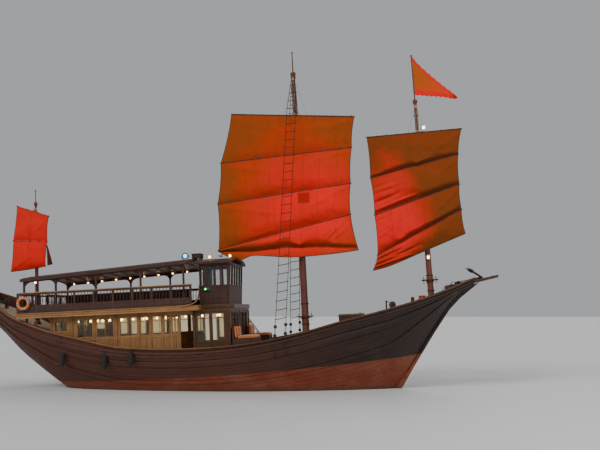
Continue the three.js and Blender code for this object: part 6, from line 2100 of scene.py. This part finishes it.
def wale_bolts(name, side):
    stud, paths = Shape().lathe(mm("16 -8, 16 4, 11 10, 0 12"), (0, 0, 0), ABEAM, 6), []
    if side < 0:
        mirrored = [Vector((p.x, -p.y, p.z)) for p in stud.points]
        stud = Shape().add(mirrored, [f[::-1] for f in stud.faces])
    for share, out in mm("596 55, 625 55, 862 60, 908 60"):
        path = []
        for x in spaced(-12.9, 11.6, 90):
            z = keel_at(x) + (deck_at(x) - keel_at(x)) * share
            path.append((x, side * (side_at(x, z) + out + 0.001), z))
        paths.append(path)
    repeat(f"wale_bolts_{name}", paths, stud, 0.44, "iron")


def scuppers(name, side):
    plates = Shape()
    section = mm("-14 -45, 8 -50, 14 -42, 14 42, 8 50, -14 45")
    for x in (-10.8, -8.4, -6.0, -3.6, -1.2, 1.8, 4.2, 6.6):
        plates.sweep(beside(side, 0.016, lambda q: deck_at(q) + 0.13, spaced(x - 0.16, x + 0.16, 5)), section)
    piece(f"scupper_plates_{name}", plates, "iron", smooth=30)


def rudder_straps():
    straps = Shape()
    for z in (-1.26, -0.50, 0.29):
        outline = [(-9.10, z - 0.045), (-9.10, z + 0.045), (-10.30, z + 0.02), (-10.30, z - 0.02)]
        straps.prism(outline, in_side, -0.068, 0.068)
    piece("rudder_straps", straps, "iron", "rudder", bevel=0.006)


def stair_rails():
    rails, posts = Shape(), Shape()
    foot, head = (0.56, deck_at(0.56)), (-1.07, 4.28)
    section = mm("-32 -22, 32 -22, 34 4, 22 20, -22 20, -34 4")
    for y in (2.915, 3.425):
        tops = []
        for t in spaced(0.0, 1.0, 5):
            x, z = foot[0] + (head[0] - foot[0]) * t + 0.05, foot[1] + (head[1] - foot[1]) * t
            tops.append(Vector((x, y, z + 0.88)))
            posts.tube(line((x, y, z + 0.02), tops[-1], 3), 0.018)
        way = (tops[-1] - tops[0]).normalized()
        rails.sweep(line(tops[0] - way * 0.12, tops[-1] + way * 0.08, 7), section)
    piece("stair_handrails", rails, "golden", smooth=30)
    piece("stair_stanchions", posts, "golden_up")


def mast_gear():
    """Pin rails and pins at the masts, with the red drum at the foremast's foot."""
    rails, pins = Shape(), Shape()
    pin = mm("0 -200, 10 -195, 13 -30, 13 30, 21 40, 15 60, 12 90, 20 150, 15 175, 0 180")
    for m in (MASTS["main"], MASTS["fore"]):
        z = m["foot"][1] + 1.02
        x, r = mast_x(m, z), mast_radius(m, z)
        for s in (-1, 1):
            rails.block(x - 0.42, x + 0.42, s * (r + 0.02), s * (r + 0.11), z - 0.03, z + 0.03)
            for k in (-0.32, -0.16, 0.16, 0.32):
                pins.lathe(pin, (x + k, s * (r + 0.065), z), UP, 10)
        for a in (x - r - 0.02, x + r + 0.02):
            rails.block(a - 0.025, a + 0.025, -r - 0.11, r + 0.11, z - 0.09, z - 0.03)
    piece("pin_rails", rails, "dark", bevel=0.006)
    piece("belaying_pins", pins, "golden_up")
    drum = mm(
        "0 0, 170 0, 178 12, 182 20, 176 30, 176 170, 182 180, 182 190, 176 200, 176 360, 182 370, "
        "180 390, 168 400, 160 390, 0 385"
    )
    z = max(deck_at(9.58), deck_at(9.98)) + 0.01
    piece("red_line_drum", Shape().lathe(drum, (9.78, -0.18, z), UP, 32), "red_paint", smooth=40)


def stern_trim():
    """Golden mouldings round the stern board, with upright frames and their bolts."""
    section = mm("-22 -30, 0 -34, 22 -20, 28 0, 22 20, 0 34, -22 30")
    crown = [(-1.77, 5.655), (-1.465, 5.86), (-0.79, 6.0), (0.79, 6.0), (1.465, 5.86), (1.77, 5.655)]
    mould, frames, bolts = Shape(), Shape(), []
    for path in (crown, [(y, 5.075) for y in spaced(-1.64, 1.64, 9)]):
        mould.sweep([(-14.10, y, z) for y, z in path], section)
    for y, top in ((-1.50, 5.79), (-0.76, 5.95), (0.0, 5.965), (0.76, 5.95), (1.50, 5.79)):
        frames.block(-14.125, -14.08, y - 0.055, y + 0.055, 5.11, top)
        bolts.append([(-14.126, y, 5.20), (-14.126, y, top - 0.09)])
    piece("stern_board_mouldings", mould, "golden_cross", smooth=30)
    piece("stern_board_frames", frames, "dark_up", bevel=0.008)
    stud = mm("18 -6, 18 1.8, 12.96 8.4, 0 12")
    repeat("stern_board_bolts", bolts, Shape().lathe(stud, (0, 0, 0), ABEAM, 8), 0.28, "iron")


def door_pull(name, side):
    pull = Shape().block(-2.425, -2.375, side * 2.750, side * 2.755, 2.72, 3.06)
    grip = ((2.752, 2.78), (2.734, 2.79), (2.734, 2.99), (2.752, 3.0))
    pull.tube([(-2.40, side * y, z) for y, z in grip], 0.007)
    piece(f"door_pull_{name}", pull, "brass", f"door_{name}", smooth=40)


def gate_straps():
    """Strap hinges and a ring latch on the gate."""
    straps = Shape()
    for z in (4.52, 5.265):
        straps.block(-10.586, -10.579, -0.47, -0.06, z - 0.02, z + 0.02)
        straps.lathe(disc(0.03, 0.008), (-10.579, -0.06, z), (-1, 0, 0), 16)
    straps.block(-10.59, -10.579, 0.28, 0.45, 5.25, 5.28)
    straps.tube(ring_path((-10.592, 0.31, 5.235), 0.03, (0, 1, 0.3), 16), 0.006, 6, closed=True)
    piece("gate_straps", straps, "iron", "aft_gate", bevel=0.002)


def bench_boards():
    """Seat boards, panel battens and a cap on the long bench under the canopy."""
    boards, panels = Shape(), Shape()
    for side in (-1, 1):
        for near, far in ((0.055, 0.232), (0.240, 0.417), (0.425, 0.60)):
            boards.block(-9.33, -2.47, side * near, side * far, 4.7305, 4.757)
        for x in spaced(-9.265, -2.535, 9):
            panels.block(x - 0.035, x + 0.035, side * 0.556, side * 0.575, 4.31, 4.73)
            panels.block(x - 0.025, x + 0.025, side * 0.041, side * 0.058, 4.758, 5.16)
        for low, high in ((4.31, 4.40), (4.655, 4.73)):
            panels.block(-9.30, -2.50, side * 0.556, side * 0.571, low, high)
    boards.block(-9.33, -2.47, -0.075, 0.075, 5.18, 5.212)
    piece("bench_boards", boards, "hatch", bevel=0.006)
    piece("bench_panels", panels, "dark", bevel=0.004)


def stem_head():
    """The stem carried up from the keel's tip to the bow beam, faired into the planking."""
    back = [(x, keel_at(x) + 0.03) for x in spaced(10.6, 12.4, 10)]
    face = [(12.75, 4.79), (12.35, 4.50), (11.75, 4.06), (11.15, 3.478), (10.60, 2.735)]
    piece("stem_head", Shape().prism(back + face, in_side, -0.105, 0.105), "stem", bevel=0.012)


for build in (
    lounge_pads, ships_wheel, ground_tackle, windlass, hatch, lamps, search_light, roof_locker, flood_light,
    rudder_straps, stair_rails, mast_gear, stern_trim, gate_straps, bench_boards, stem_head,
):
    build()
for side_name, side_sign in SIDES:
    for build_side in (floats, wale_bolts, scuppers, door_pull):
        build_side(side_name, side_sign)


# Camera, light and floor
def aimed(name, data, way, place=(0, 0, 0)):
    obj = placed(name, data)
    obj.location = place
    obj.rotation_euler = Vector(way).to_track_quat("-Z", "Y").to_euler()
    return obj


def camera():
    """The photograph's view: off the starboard bow quarter, low over the water, looking a little up."""
    data = bpy.data.cameras.new("camera")
    data.sensor_width, data.lens = 36.0, 36.0 * 824.0 / 600.0
    data.clip_start, data.clip_end = 0.5, 800.0
    heading, pitch = math.radians(-5.835), math.radians(5.82)
    ahead = (math.sin(heading) * math.cos(pitch), math.cos(heading) * math.cos(pitch), math.sin(pitch))
    bpy.context.scene.camera = aimed("camera", data, ahead, (7.64, -43.33, 4.05))


def lights():
    """Two broad lights that reach the whole floor alike, a soft one near the ship, and a pale sky."""
    suns = (("key", (-30, -42, 36), 1.55, 24.0), ("back", (14, 48, 40), 0.75, 35.0))
    for name, place, strength, angle in suns:
        sun = bpy.data.lights.new(name, "SUN")
        sun.energy, sun.angle = strength, math.radians(angle)
        aimed(name, sun, -Vector(place))
    fill, place, target = bpy.data.lights.new("fill", "AREA"), Vector((34, -34, 14)), Vector((2, 0, 5))
    fill.shape, fill.size, fill.energy = "DISK", 20.0, 4200.0
    aimed("fill", fill, target - place, place)
    world = bpy.data.worlds.new("studio")
    world.use_nodes = True
    sky = world.node_tree.nodes["Background"]
    sky.inputs[0].default_value = (0.80, 0.82, 0.85, 1.0)
    sky.inputs[1].default_value = 0.5
    bpy.context.scene.world = world


def floor():
    reach = 400.0
    corners = [(x, y, 0) for x, y in oblong(reach, -reach, reach)]
    plane = mesh_of("floor", corners, [(0, 1, 2, 3)])
    pale = Finish("pale_floor", None)
    pale.fill(pale.shader, {"Base Color": (0.70, 0.70, 0.69), "Roughness": 0.8})
    plane.materials.append(pale.material)
    placed("floor", plane)


camera()
lights()
floor()
